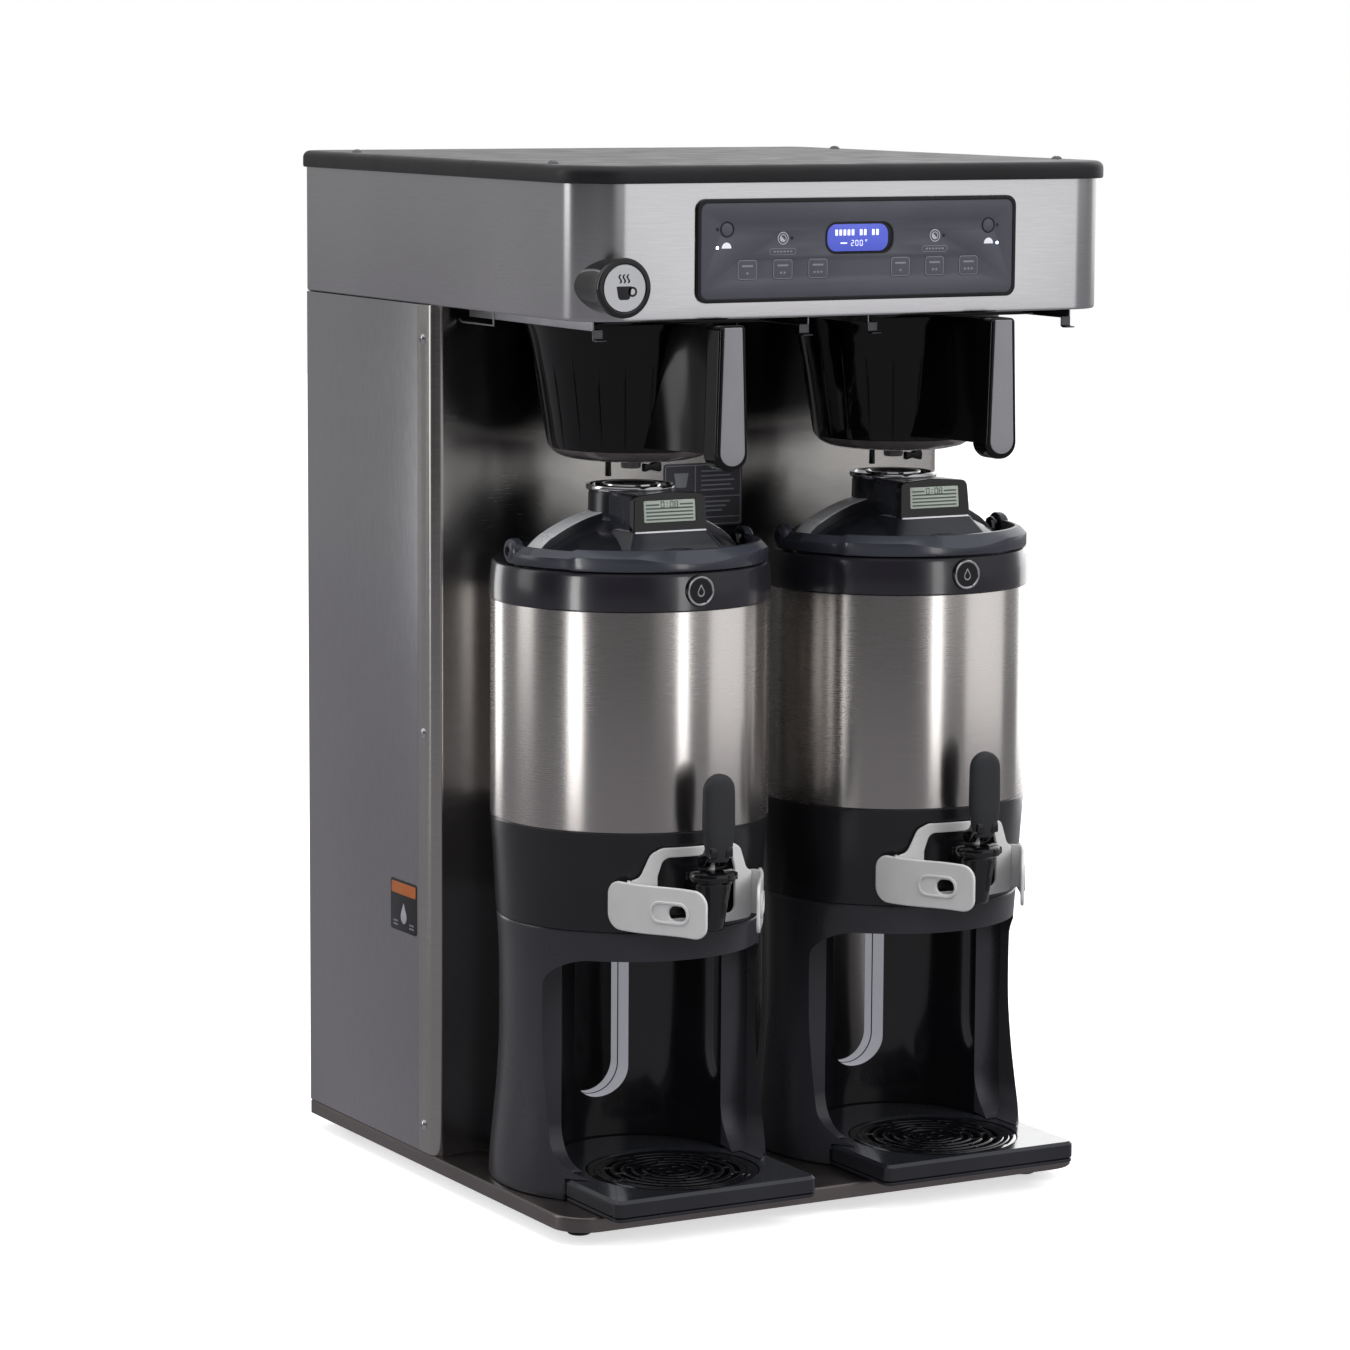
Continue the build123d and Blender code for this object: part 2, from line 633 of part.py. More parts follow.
def cup_opening(x):
    """Rounded corners seen from the front, and jambs that sweep forward into the foot."""
    with BuildPart() as opening:
        with BuildSketch(front_plane(STATION_Y)) as arch:
            with Locations((x, ARCH_MID_Z)):
                Rectangle(2 * ARCH_HALF, ARCH_H)
            fillet(arch.vertices().group_by(Axis.Y)[-1], 25)
            fillet(arch.vertices().group_by(Axis.Y)[0], 31)
        extrude(amount=150)
        with BuildSketch(Plane.YZ.offset(x)) as jamb:
            with Locations((STATION_Y - 90, ARCH_MID_Z + 5)):
                Rectangle(130, ARCH_H + 10)
            fillet(jamb.vertices().sort_by_distance((STATION_Y - 25, ARCH_FOOT, 0))[0], 40)
        extrude(amount=120, both=True, mode=Mode.INTERSECT)
    return opening.part


def stand(x):
    """Waisted pedestal: front arch, concave cavity, rear hand slot."""
    y = STATION_Y
    opening = cup_opening(x)
    hollow = stand_hollow(x)
    cavity_z = STAND_Z0 + 2
    with BuildPart() as pedestal:
        turn(x, y, [(0, STAND_Z0), (121, STAND_Z0), (120.5, 40), (117, 80), (113.6, 120),
                    (112, 160), (112, 210), (112.8, 235), (114.5, STAND_Z1), (0, STAND_Z1)])
        add(opening, mode=Mode.SUBTRACT)
        # room for the drip tray and its grate
        with BuildSketch(Plane.XY.offset(10)):
            with Locations((x, y - 85)):
                Rectangle(2 * TRAY_HALF + 1.4, 120)
        extrude(amount=34.6, mode=Mode.SUBTRACT)
        with BuildSketch(Plane.XY.offset(30)):
            with Locations((x, GRATE_Y)):
                Circle(GRATE_R + 1.5)
        extrude(amount=60, mode=Mode.SUBTRACT)
        with BuildSketch(Plane.XY.offset(cavity_z)):
            with Locations((x, CAVITY_Y)):
                Circle(CAVITY_R)
        extrude(amount=238 - cavity_z, mode=Mode.SUBTRACT)
        # rear recess, then the hand slot through it
        with BuildSketch(front_plane(y + 74)):
            with Locations((x, 145)):
                RectangleRounded(104, 180, 20)
        extrude(amount=-70, mode=Mode.SUBTRACT)
        with BuildSketch(front_plane(y + 30)):
            with Locations((x, 158)):
                RectangleRounded(54, 156, 26.5)
        extrude(amount=-100, mode=Mode.SUBTRACT)
        # round recess in the top
        with BuildSketch(Plane.XY.offset(242)):
            with Locations((x, y)):
                Circle(104)
        extrude(amount=40, mode=Mode.SUBTRACT)
        add(hollow, mode=Mode.SUBTRACT)
    return pedestal.part


def skirt(x):
    """Flared ring between stand and shell, with the faucet shank hole."""
    bottom_z, top_z = STAND_Z1 + 0.1, SKIRT_Z1 - 0.1
    with BuildPart() as ring:
        turn(x, STATION_Y, [(111.8, bottom_z), (114.8, bottom_z), (116.4, 290), (118.2, 320),
                            (119.8, top_z), (116.6, top_z), (113.2, 290)])
        with BuildSketch(front_plane(STATION_Y)):
            with Locations((x, SHANK_Z)):
                Circle(11.4)
        extrude(amount=130, mode=Mode.SUBTRACT)
    return ring.part


def shell(x):
    """Plain outer cylinder of the server."""
    bottom_z, top_z = SKIRT_Z1 + 0.1, SHELL_Z1 - 0.1
    inner_r = SHELL_R - 1.6
    with BuildPart() as tube:
        turn(x, STATION_Y, [(inner_r, bottom_z), (SHELL_R, bottom_z), (SHELL_R, top_z),
                            (inner_r, top_z)])
    return tube.part


def liner(x):
    """Inner vacuum bottle with its outlet elbow to the faucet shank."""
    y = STATION_Y
    elbow_r = 9
    with BuildPart() as bottle:
        turn(x, y, [(0, 352), (96, 352), (104, 360), (104, 500), (98, 520), (72, 538), (72, 548),
                    (70.5, 548), (70.5, 537), (97, 518.8), (102.5, 499.5), (102.5, 360.5),
                    (95.3, 353.5), (0, 353.5)])
        with BuildSketch(Plane.XY.offset(SHANK_Z - elbow_r)):
            with Locations((x, y)):
                Circle(elbow_r)
        extrude(amount=65)
        with BuildSketch(front_plane(y + elbow_r)):
            with Locations((x, SHANK_Z)):
                Circle(elbow_r)
        extrude(amount=105)
        # bores, down then forward
        with BuildSketch(Plane.XY.offset(SHANK_Z - BORE_R)):
            with Locations((x, y)):
                Circle(BORE_R)
        extrude(amount=70, mode=Mode.SUBTRACT)
        with BuildSketch(front_plane(y)):
            with Locations((x, SHANK_Z)):
                Circle(BORE_R)
        extrude(amount=120, mode=Mode.SUBTRACT)
    return bottle.part


def collar(x):
    """Collar with its badge boss and the two posts the carry handle turns on."""
    y = STATION_Y
    bottom_z = SHELL_Z1 + 0.1
    with BuildPart() as ring:
        turn(x, y, [(117.8, bottom_z), (121, bottom_z), (120.6, 545), (119.2, 561.5),
                    (117.7, COLLAR_Z1), (66, COLLAR_Z1), (66, 559), (114.5, 559), (117.2, 545)])
        with BuildSketch(front_plane(y - 122.6)):
            with Locations((x, 548)):
                Circle(13.5)
        extrude(amount=-5.5)
        for sign in SIGNS:
            with BuildSketch(Plane.YZ.offset(x + sign * 103)):
                with Locations((y, 569)):
                    Rectangle(16, 14)
                with Locations((y, BAIL_Z)):
                    Circle(8)
            extrude(amount=sign * 4.6)
            with BuildSketch(Plane.YZ.offset(x + sign * 105)):
                with Locations((y, BAIL_Z)):
                    Circle(4.0)
            extrude(amount=sign * 11.5)
    return ring.part


def bail_handle(x):
    """Carry handle folded down round the front of the lid."""
    y = STATION_Y
    outer_r = 119
    with BuildPart() as bail:
        with BuildSketch(Plane.XY.offset(564)):
            with Locations((x, y)):
                Circle(outer_r)
                Circle(BAIL_R, mode=Mode.SUBTRACT)
            with Locations((x, y + 65)):
                Rectangle(260, 130, mode=Mode.SUBTRACT)
        extrude(amount=18)
        # drilled pivot bosses
        for sign in SIGNS:
            with BuildSketch(Plane.YZ.offset(x + sign * BAIL_R)):
                with Locations((y, BAIL_Z)):
                    Circle(11)
            extrude(amount=sign * (outer_r - BAIL_R))
            with BuildSketch(Plane.YZ.offset(x + sign * 104)):
                with Locations((y, BAIL_Z)):
                    Circle(4.06)
            extrude(amount=sign * 12.8, mode=Mode.SUBTRACT)
    return bail.part


def lid(x):
    """Brew-through lid: plug, dome, cross strap, inlet tower, display housing."""
    y = STATION_Y
    housing_half = 34
    with BuildPart() as cover:
        turn(x, y, [(0, 548), (62, 548), (62, 563.5), (101, 563.5), (101, 566.5), (98, 569),
                    (72, 584), (46, 596), (38, 600), (36.5, 604), (36.5, 623), (38.5, 624),
                    (38.5, 629), (0, 629)])
        # display housing in front of the tower
        with BuildSketch(Plane.YZ.offset(x - housing_half)):
            with BuildLine():
                Polyline((y - 70, 588.5), (y - 67, 621), (y - 62, 623.5), (y - 10, 623.5),
                         (y - 10, 575), (y - 64, 575), close=True)
            make_face()
        extrude(amount=2 * housing_half)
        # cross strap
        with BuildSketch(front_plane(y - 11)):
            with BuildLine():
                Polyline((x - 99, 566), (x - 99, 573), (x - 66, 595), (x - 34, 606),
                         (x + 34, 606), (x + 66, 595), (x + 99, 573), (x + 99, 566), close=True)
            make_face()
        extrude(amount=-22)
        # tower mouth, centre bore, hollow under the dome
        turn(x, y, [(0, 612), (33, 612), (34.5, 629), (34.5, 640), (0, 640)], Mode.SUBTRACT)
        turn(x, y, [(0, 540), (6, 540), (6, 620), (0, 620)], Mode.SUBTRACT)
        turn(x, y, [(12, 540), (58, 540), (58, 566), (88, 568.5), (66, 578), (40, 590),
                    (12, 590)], Mode.SUBTRACT)
    return cover.part


def faucet_body(x):
    """Shank, tapered body, bonnet."""
    with BuildPart() as body:
        turn(x, FAUCET_Y, [(0, 264), (10.5, 264), (12, 266), (16.5, 303), (18, 306),
                           (20.6, 307.5), (21.2, 310), (20.6, 313), (17, 315.5), (0, 315.5)])
        with BuildSketch(front_plane(STATION_Y - 97)):
            with Locations((x, SHANK_Z)):
                Circle(10.8)
        extrude(amount=FAUCET_REACH - 97 - 12)
        turn(x, FAUCET_Y, [(0, 260), (7, 260), (7, 276), (11, 276), (11, 308), (3.1, 308),
                           (3.1, 320), (0, 320)], Mode.SUBTRACT)
        with BuildSketch(front_plane(STATION_Y - 90)):
            with Locations((x, SHANK_Z)):
                Circle(BORE_R)
        extrude(amount=FAUCET_REACH - 90 - 8, mode=Mode.SUBTRACT)
    return body.part


def faucet_stem(x):
    with BuildPart() as stem:
        turn(x, FAUCET_Y, [(0, 276.3), (8, 276.3), (10.2, 279), (10.2, 284), (4, 288),
                           (3.04, 292), (3.04, 322), (0, 322)])
    return stem.part


def faucet_handle(x):
    """Upright paddle on a cross barrel, slotted over the stem."""
    with BuildPart() as handle:
        with BuildSketch(front_plane(FAUCET_Y + 5.5)) as paddle:
            with BuildLine():
                Polyline((x - 12.5, 325), (x - 14.8, 345), (x - 14.8, 398), (x + 14.8, 398),
                         (x + 14.8, 345), (x + 12.5, 325), close=True)
            make_face()
            fillet(paddle.vertices().group_by(Axis.Y)[-1], 13)
        extrude(amount=12)
        chamfer(handle.faces().sort_by(Axis.Y)[0].edges(), 1.8)
        chamfer(handle.faces().sort_by(Axis.Y)[-1].edges(), 1.8)
        with BuildSketch(Plane.YZ.offset(x - 11)):
            with Locations((FAUCET_Y, 322)):
                Circle(6)
        extrude(amount=22)
        with BuildSketch(Plane.YZ.offset(x - 3.7)):
            with Locations((FAUCET_Y, 321)):
                Rectangle(30, 14)
        extrude(amount=7.4, mode=Mode.SUBTRACT)
    return handle.part


def faucet_guard(x):
    """Arched back plate with a swept paddle on each side."""
    y = STATION_Y
    paddle_z = 286
    with BuildPart() as guard:
        # curved plate: the front wedge of a ring
        with BuildSketch(Plane.XY.offset(262)):
            with Locations((x, y)):
                Circle(124.3)
                Circle(121.6, mode=Mode.SUBTRACT)
            with BuildLine():
                Polyline((x, y), (x + 200, y - 360), (x + 300, y + 300), (x - 300, y + 300),
                         (x - 200, y - 360), close=True)
            make_face(mode=Mode.SUBTRACT)
        extrude(amount=72)
        with BuildSketch(front_plane(y - 90)) as window:
            with Locations((x, 285)):
                Rectangle(47, 76)
            fillet(window.vertices().group_by(Axis.Y)[-1], 12)
        extrude(amount=60, mode=Mode.SUBTRACT)
        for sign in SIGNS:
            # sloped shoulder of the plate
            with BuildSketch(front_plane(y - 90)):
                with BuildLine():
                    Polyline((x + sign * 80, 340), (x + sign * 34, 340), (x + sign * 46, 314),
                             (x + sign * 80, 309), close=True)
                make_face()
            extrude(amount=60, mode=Mode.SUBTRACT)
            # paddle with a slot near its front end
            front = Vector(x + sign * 26, y - 181, paddle_z)
            rear = Vector(x + sign * 74, y - 98, paddle_z)
            along = (rear - front).normalized()
            with BuildSketch(Plane(origin=(front + rear) * 0.5, x_dir=along,
                                   z_dir=Vector(0, 0, 1).cross(along))):
                RectangleRounded(95.9, 48, 11)
                with Locations((-22, 0)):
                    SlotOverall(18, 13, mode=Mode.SUBTRACT)
            extrude(amount=1.5, both=True)
            # radial tab joining paddle and plate
            radial = Vector(sign * 0.485, -0.875, 0).normalized()
            with BuildSketch(Plane(origin=Vector(x, y, paddle_z) + radial * 127, x_dir=radial,
                                   z_dir=Vector(0, 0, 1).cross(radial))):
                Rectangle(11, 38)
            extrude(amount=1.4, both=True)
    return guard.part


def drip_tray(x):
    """Tray with a round rear end that fits the cavity, and a well under the grate."""
    with BuildPart() as tray:
        with BuildSketch(Plane.XY.offset(27.5)) as outline:
            with Locations((x, (TRAY_FRONT + TRAY_REAR) / 2)):
                Rectangle(2 * TRAY_HALF, TRAY_REAR - TRAY_FRONT)
            fillet(outline.vertices().group_by(Axis.Y)[0], 8)
            with Locations((x, CAVITY_Y)):
                Circle(CAVITY_R - 1.5)
        extrude(amount=16.5)
        top_edges = tray.faces().sort_by(Axis.Z)[-1].edges()
        chamfer(top_edges.filter_by(lambda e: e.center().Y < STATION_Y - 40), 3.0)
        # thicker underside at the front
        slab(x - TRAY_HALF + 1, TRAY_FRONT + 1, x + TRAY_HALF - 1, STATION_Y - 124, 25.5, 3, 7)
        # grate seat, then the well
        with BuildSketch(Plane.XY.offset(39.4)):
            with Locations((x, GRATE_Y)):
                Circle(GRATE_R + 1)
        extrude(amount=20, mode=Mode.SUBTRACT)
        with BuildSketch(Plane.XY.offset(30.5)):
            with Locations((x, GRATE_Y)):
                Circle(GRATE_R - 3)
        extrude(amount=20, mode=Mode.SUBTRACT)
    return tray.part


def drip_grate(x):
    """Lift-out disc with one ring of slots, split in four by two crossing bars."""
    bar = 7
    with BuildPart() as grate:
        with BuildSketch(Plane.XY.offset(39.6)):
            with Locations((x, GRATE_Y)):
                Circle(GRATE_R)
        extrude(amount=4.0)
        with BuildSketch(Plane.XY.offset(39)):
            with Locations((x, GRATE_Y)):
                Circle(GRATE_SLOT_R + GRATE_SLOT_W / 2)
                Circle(GRATE_SLOT_R - GRATE_SLOT_W / 2, mode=Mode.SUBTRACT)
                Rectangle(150, bar, mode=Mode.SUBTRACT)
                Rectangle(bar, 150, mode=Mode.SUBTRACT)
        extrude(amount=10, mode=Mode.SUBTRACT)
    return grate.part


# ============================================================ build and save
def save(part, name):
    part.label = name
    export_step(part, f"parts/{name}.step")


# each file is named after the function that makes the piece
for make in (base_pan, leveling_feet, splash_panel, rear_panel, hood_shell, hood_floor, top_lid,
             cabinet_screws, control_panel, display_window, control_board, corner_badge,
             funnel_rails, spray_heads, water_tank, tank_heater, solenoid_valves, water_tubes):
    save(make(), make.__name__)

for side, sign in SIDES:
    save(side_panel(sign), f"{side}_side_panel")
    # brew keys are lettered from left to right
    for letter, key_x in zip("abc", sorted(sign * x for x in BREW_KEY_X)):
        save(key(key_x, BREW_KEY_Z), f"{side}_brew_key_{letter}")
    for name, (key_x, key_z, radius) in ROUND_KEYS.items():
        save(key(sign * key_x, key_z, radius), f"{side}_{name}")
    for make in (funnel, filter_basket, stand, skirt, shell, liner, collar, bail_handle, lid,
                 faucet_body, faucet_stem, faucet_handle, faucet_guard, drip_tray, drip_grate):
        save(make(sign * STATION_X), f"{side}_{make.__name__}")
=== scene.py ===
"""Twin-station drip brewer: a cabinet with a hood, and on each side a funnel over a server.

The machine stands on z = 0 with +Z up. Its front faces -Y, and the left station is at -X.
Meshes are drawn in mm and turned into metres when they become pieces. Station parts are
drawn about the station's own vertical axis. Lights and camera are in metres.
"""
import json
from math import acos, asin, atan2, copysign, cos, degrees, hypot, pi, radians, sin, sqrt, tan
import bpy
import bmesh
from mathutils import Matrix, Vector

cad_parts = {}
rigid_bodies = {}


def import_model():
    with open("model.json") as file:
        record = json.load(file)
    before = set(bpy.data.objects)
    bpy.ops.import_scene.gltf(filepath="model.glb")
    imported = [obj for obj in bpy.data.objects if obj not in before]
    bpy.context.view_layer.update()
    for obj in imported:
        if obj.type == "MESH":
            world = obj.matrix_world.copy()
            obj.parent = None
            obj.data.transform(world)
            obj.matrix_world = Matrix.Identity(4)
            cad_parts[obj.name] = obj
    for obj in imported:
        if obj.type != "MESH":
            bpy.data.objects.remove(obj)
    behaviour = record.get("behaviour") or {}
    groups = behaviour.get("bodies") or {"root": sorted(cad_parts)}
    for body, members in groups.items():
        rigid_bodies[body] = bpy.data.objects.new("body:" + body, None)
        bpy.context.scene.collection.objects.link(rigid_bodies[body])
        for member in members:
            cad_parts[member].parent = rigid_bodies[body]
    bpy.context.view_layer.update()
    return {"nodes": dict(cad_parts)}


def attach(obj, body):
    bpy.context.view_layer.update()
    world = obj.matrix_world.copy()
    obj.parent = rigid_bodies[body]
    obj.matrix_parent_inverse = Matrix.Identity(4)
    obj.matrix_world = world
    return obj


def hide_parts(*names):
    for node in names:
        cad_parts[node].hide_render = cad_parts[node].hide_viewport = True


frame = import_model()

MM = 0.001
STATION_X, STATION_Y = 132.5, -115.0      # station axis
SIDES = (("left", -1), ("right", 1))
SCENE_OBJECTS = bpy.context.scene.collection.objects


# ------------------------------------------------------------------ mesh kit (mm)
def clean(mesh, distance=2e-4):
    """Welds doubles, drops loose vertices and turns the normals outward."""
    bm = bmesh.new()
    bm.from_mesh(mesh)
    bmesh.ops.remove_doubles(bm, verts=bm.verts, dist=distance)
    bmesh.ops.dissolve_degenerate(bm, edges=bm.edges, dist=distance)
    loose = [v for v in bm.verts if not v.link_faces]
    if loose:
        bmesh.ops.delete(bm, geom=loose, context="VERTS")
    bmesh.ops.recalc_face_normals(bm, faces=bm.faces)
    bm.to_mesh(mesh)
    bm.free()
    mesh.update()
    return mesh


def from_data(verts, faces):
    mesh = bpy.data.meshes.new("m")
    mesh.from_pydata([tuple(v) for v in verts], [], faces)
    return clean(mesh)


def evaluated(obj):
    depsgraph = bpy.context.evaluated_depsgraph_get()
    depsgraph.update()
    return bpy.data.meshes.new_from_object(obj.evaluated_get(depsgraph))


def temporary(data):
    obj = bpy.data.objects.new("tmp", data)
    SCENE_OBJECTS.link(obj)
    return obj


def arc(radius, start, end, steps, x=0.0, y=0.0):
    """Points from start to end, in radians, with both ends."""
    angles = [start + (end - start) * j / steps for j in range(steps + 1)]
    return [(x + radius * cos(a), y + radius * sin(a)) for a in angles]


def rounded_polygon(points, steps=6):
    """Closed outline from (x, y) or (x, y, corner radius); steps is per quarter turn."""
    out = []
    for i, point in enumerate(points):
        x, y, radius = (*point, 0)[:3]
        if radius <= 0:
            out.append((x, y))
            continue
        before, after = points[i - 1], points[(i + 1) % len(points)]
        a = Vector((before[0] - x, before[1] - y))
        b = Vector((after[0] - x, after[1] - y))
        length_a, length_b = a.length, b.length
        a.normalize()
        b.normalize()
        angle = acos(max(-1, min(1, a.dot(b))))
        if angle > pi - 1e-3 or angle < 1e-3:
            out.append((x, y))
            continue
        reach = min(radius / tan(angle / 2), length_a * 0.499, length_b * 0.499)
        radius = reach * tan(angle / 2)
        corner = Vector((x, y))
        centre = corner + (a + b).normalized() * (radius / sin(angle / 2))
        first, last = corner + a * reach - centre, corner + b * reach - centre
        start = atan2(first.y, first.x)
        turn = (atan2(last.y, last.x) - start + pi) % (2 * pi) - pi
        count = max(2, int(round(steps * abs(turn) / (pi / 2))))
        for j in range(count + 1):
            w = start + turn * j / count
            out.append((centre.x + radius * cos(w), centre.y + radius * sin(w)))
    return out


def rounded_rect(width, height, radius, x=0.0, y=0.0, steps=8):
    a, b = width / 2, height / 2
    return rounded_polygon([(x - a, y - b, radius), (x + a, y - b, radius),
                            (x + a, y + b, radius), (x - a, y + b, radius)], steps)


def circle(radius, x=0.0, y=0.0, count=48):
    angles = [2 * pi * k / count for k in range(count)]
    return [(x + radius * cos(a), y + radius * sin(a)) for a in angles]


def ring(outer, inner, x, y, count):
    return [circle(outer, x, y, count), circle(inner, x, y, count)]


def arc_slot(radius, width, start, end, x, y):
    """Round-ended slot along an arc; angles in degrees."""
    start, end = radians(start), radians(end)
    half = width / 2

    def cap(angle, first):
        tip = Vector((x + radius * cos(angle), y + radius * sin(angle)))
        return arc(half, first, first + pi, 6, *tip)[1:-1]

    return (arc(radius + half, start, end, 14, x, y) + cap(end, end)
            + arc(radius - half, end, start, 14, x, y) + cap(start, start + pi))


def smooth_curve(points, steps=4):
    """Catmull-Rom through the points of an open curve."""
    out = []
    last = len(points) - 1
    for i in range(last):
        p0, p1, p2, p3 = (Vector(points[k]) for k in (max(0, i - 1), i, i + 1, min(last, i + 2)))
        for k in range(steps):
            t = k / steps
            out.append(tuple(0.5 * ((2 * p1) + (p2 - p0) * t
                                    + (2 * p0 - 5 * p1 + 4 * p2 - p3) * t * t
                                    + (3 * p1 - p0 - 3 * p2 + p3) * t ** 3)))
    out.append(tuple(points[-1]))
    return out


def loft(rings, looped=False):
    """Skin over rings of equal count; capped, or looped from the last back to the first."""
    verts, faces = [], []
    n, m = len(rings[0]), len(rings)
    for points in rings:
        verts.extend(points)
    for i in range(m if looped else m - 1):
        a, b = i * n, ((i + 1) % m) * n
        for k in range(n):
            following = (k + 1) % n
            faces.append((a + k, a + following, b + following, b + k))
    if not looped:
        faces.append(tuple(range(n))[::-1])
        faces.append(tuple((m - 1) * n + k for k in range(n)))
    return from_data(verts, faces)


def lathe(profile, x=0.0, y=0.0, segments=128, place=None):
    """Revolves a closed (radius, z) profile about the vertical axis at x, y."""
    turns = [2 * pi * k / segments for k in range(segments)]
    mesh = loft([[(x + radius * cos(a), y + radius * sin(a), z) for a in turns]
                 for radius, z in profile], looped=True)
    if place is not None:
        mesh.transform(place)
    return mesh


def rod(radius, low, high, segments, x=0.0, y=0.0, place=None):
    return lathe([(0, low), (radius, low), (radius, high), (0, high)], x, y, segments, place)


def new_curve(dimensions, points, cyclic, curve=None):
    """Adds a polyline to a curve, and makes the curve if there is none yet."""
    if curve is None:
        curve = bpy.data.curves.new("c", "CURVE")
        curve.dimensions = dimensions
    spline = curve.splines.new("POLY")
    spline.points.add(len(points) - 1)
    for target, point in zip(spline.points, points):
        target.co = (*point, 0, 1)[:3] + (1,)
    spline.use_cyclic_u = cyclic
    return curve


def curve_mesh(curve):
    obj = temporary(curve)
    mesh = evaluated(obj)
    bpy.data.objects.remove(obj)
    bpy.data.curves.remove(curve)
    return mesh


def plate(loops, low, high, edge=0.0, steps=2, place=None):
    """Flat plate from an outline and its holes, low to high, with rounded edges."""
    curve = None
    for loop in loops:
        curve = new_curve("2D", loop, True, curve)
    curve.fill_mode = "BOTH"
    curve.extrude = (high - low) / 2 - edge
    curve.bevel_depth, curve.bevel_resolution, curve.offset = edge, steps, -edge
    mesh = curve_mesh(curve)
    mesh.transform(Matrix.Translation((0, 0, (low + high) / 2)))
    if place is not None:
        mesh.transform(place)
    return clean(mesh)


def tube(points, radius, steps):
    curve = new_curve("3D", points, False)
    curve.bevel_depth, curve.bevel_resolution, curve.use_fill_caps = radius, steps, True
    return clean(curve_mesh(curve))


def facing_front(x=0.0, y=0.0, z=0.0):
    """Local x, y, z go to world +X, +Z, -Y."""
    return Matrix(((1, 0, 0, x), (0, 0, -1, y), (0, 1, 0, z), (0, 0, 0, 1)))


def facing_side(side=1, x=0.0, y=0.0, z=0.0):
    """Local z goes to world +X for side 1 and -X for side -1; local y goes to +Z."""
    return Matrix(((0, 0, side, side * x), (side, 0, 0, y), (0, 1, 0, z), (0, 0, 0, 1)))


FRONT = facing_front()


def front_plate(loops, low, high, edge=0.0, steps=2):
    """A plate seen from the front: low and high are distances towards -Y."""
    return plate(loops, low, high, edge, steps, FRONT)


def join(*meshes):
    bm = bmesh.new()
    for mesh in meshes:
        bm.from_mesh(mesh)
    out = bpy.data.meshes.new("m")
    bm.to_mesh(out)
    bm.free()
    return out


def plates(shapes, low, high, edge=0.0, steps=2, place=FRONT):
    """Several plates in one mesh; each shape is an outline and its holes."""
    return join(*[plate(loops, low, high, edge, steps, place) for loops in shapes])


def moved(mesh, place):
    out = mesh.copy()
    out.transform(place)
    return out


def boolean(mesh, cutters, operation="DIFFERENCE"):
    obj = temporary(mesh)
    others = []
    for cutter in cutters:
        other = temporary(cutter)
        others.append(other)
        mod = obj.modifiers.new("b", "BOOLEAN")
        mod.operation, mod.object, mod.solver = operation, other, "EXACT"
    out = evaluated(obj)
    for used in others + [obj]:
        bpy.data.objects.remove(used)
    return clean(out, 5e-4)


def bevel(mesh, width, segments=2, angle=35):
    obj = temporary(mesh)
    mod = obj.modifiers.new("v", "BEVEL")
    mod.width, mod.segments = width, segments
    mod.limit_method, mod.angle_limit = "ANGLE", radians(angle)
    mod.use_clamp_overlap = True
    mod.miter_outer = "MITER_ARC"
    out = evaluated(obj)
    bpy.data.objects.remove(obj)
    return clean(out, 5e-4)


def box(low, high, edge=0.0):
    (x0, y0, z0), (x1, y1, z1) = low, high
    verts = [(x, y, z) for z in (z0, z1) for x, y in ((x0, y0), (x1, y0), (x1, y1), (x0, y1))]
    mesh = from_data(verts, [(3, 2, 1, 0), (4, 5, 6, 7), (0, 1, 5, 4), (1, 2, 6, 5),
                             (2, 3, 7, 6), (3, 0, 4, 7)])
    return bevel(mesh, edge) if edge > 0 else mesh


def bent(mesh, step, count, bend):
    """Cuts the mesh every step along x, then sends each vertex through bend(x, y, z)."""
    bm = bmesh.new()
    bm.from_mesh(mesh)
    for k in range(-count, count + 1):
        bmesh.ops.bisect_plane(bm, geom=bm.verts[:] + bm.edges[:] + bm.faces[:],
                               plane_co=(k * step, 0, 0), plane_no=(1, 0, 0))
    for v in bm.verts:
        v.co = bend(*v.co)
    bmesh.ops.recalc_face_normals(bm, faces=bm.faces)
    bm.to_mesh(mesh)
    bm.free()
    return mesh


# ---------------------------------------------------------------------- materials
MIX_A, MIX_B, MIX_RESULT = 6, 7, 2        # colour sockets of the Mix node


class Nodes:
    """Short calls for one node tree."""

    def __init__(self, owner):
        owner.use_nodes = True
        self.tree = owner.node_tree
        self.tree.nodes.clear()

    def node(self, kind, **settings):
        node = self.tree.nodes.new(kind)
        for key, value in settings.items():
            setattr(node, key, value)
        return node

    def link(self, source, output, target, socket):
        self.tree.links.new(source.outputs[output], target.inputs[socket])

    def spread(self, source, low, high, start=0.3, end=0.7, output="Fac"):
        """Maps start..end of the source to low..high."""
        node = self.node("ShaderNodeMapRange")
        node.inputs["From Min"].default_value = start
        node.inputs["From Max"].default_value = end
        node.inputs["To Min"].default_value = low
        node.inputs["To Max"].default_value = high
        self.link(source, output, node, "Value")
        return node


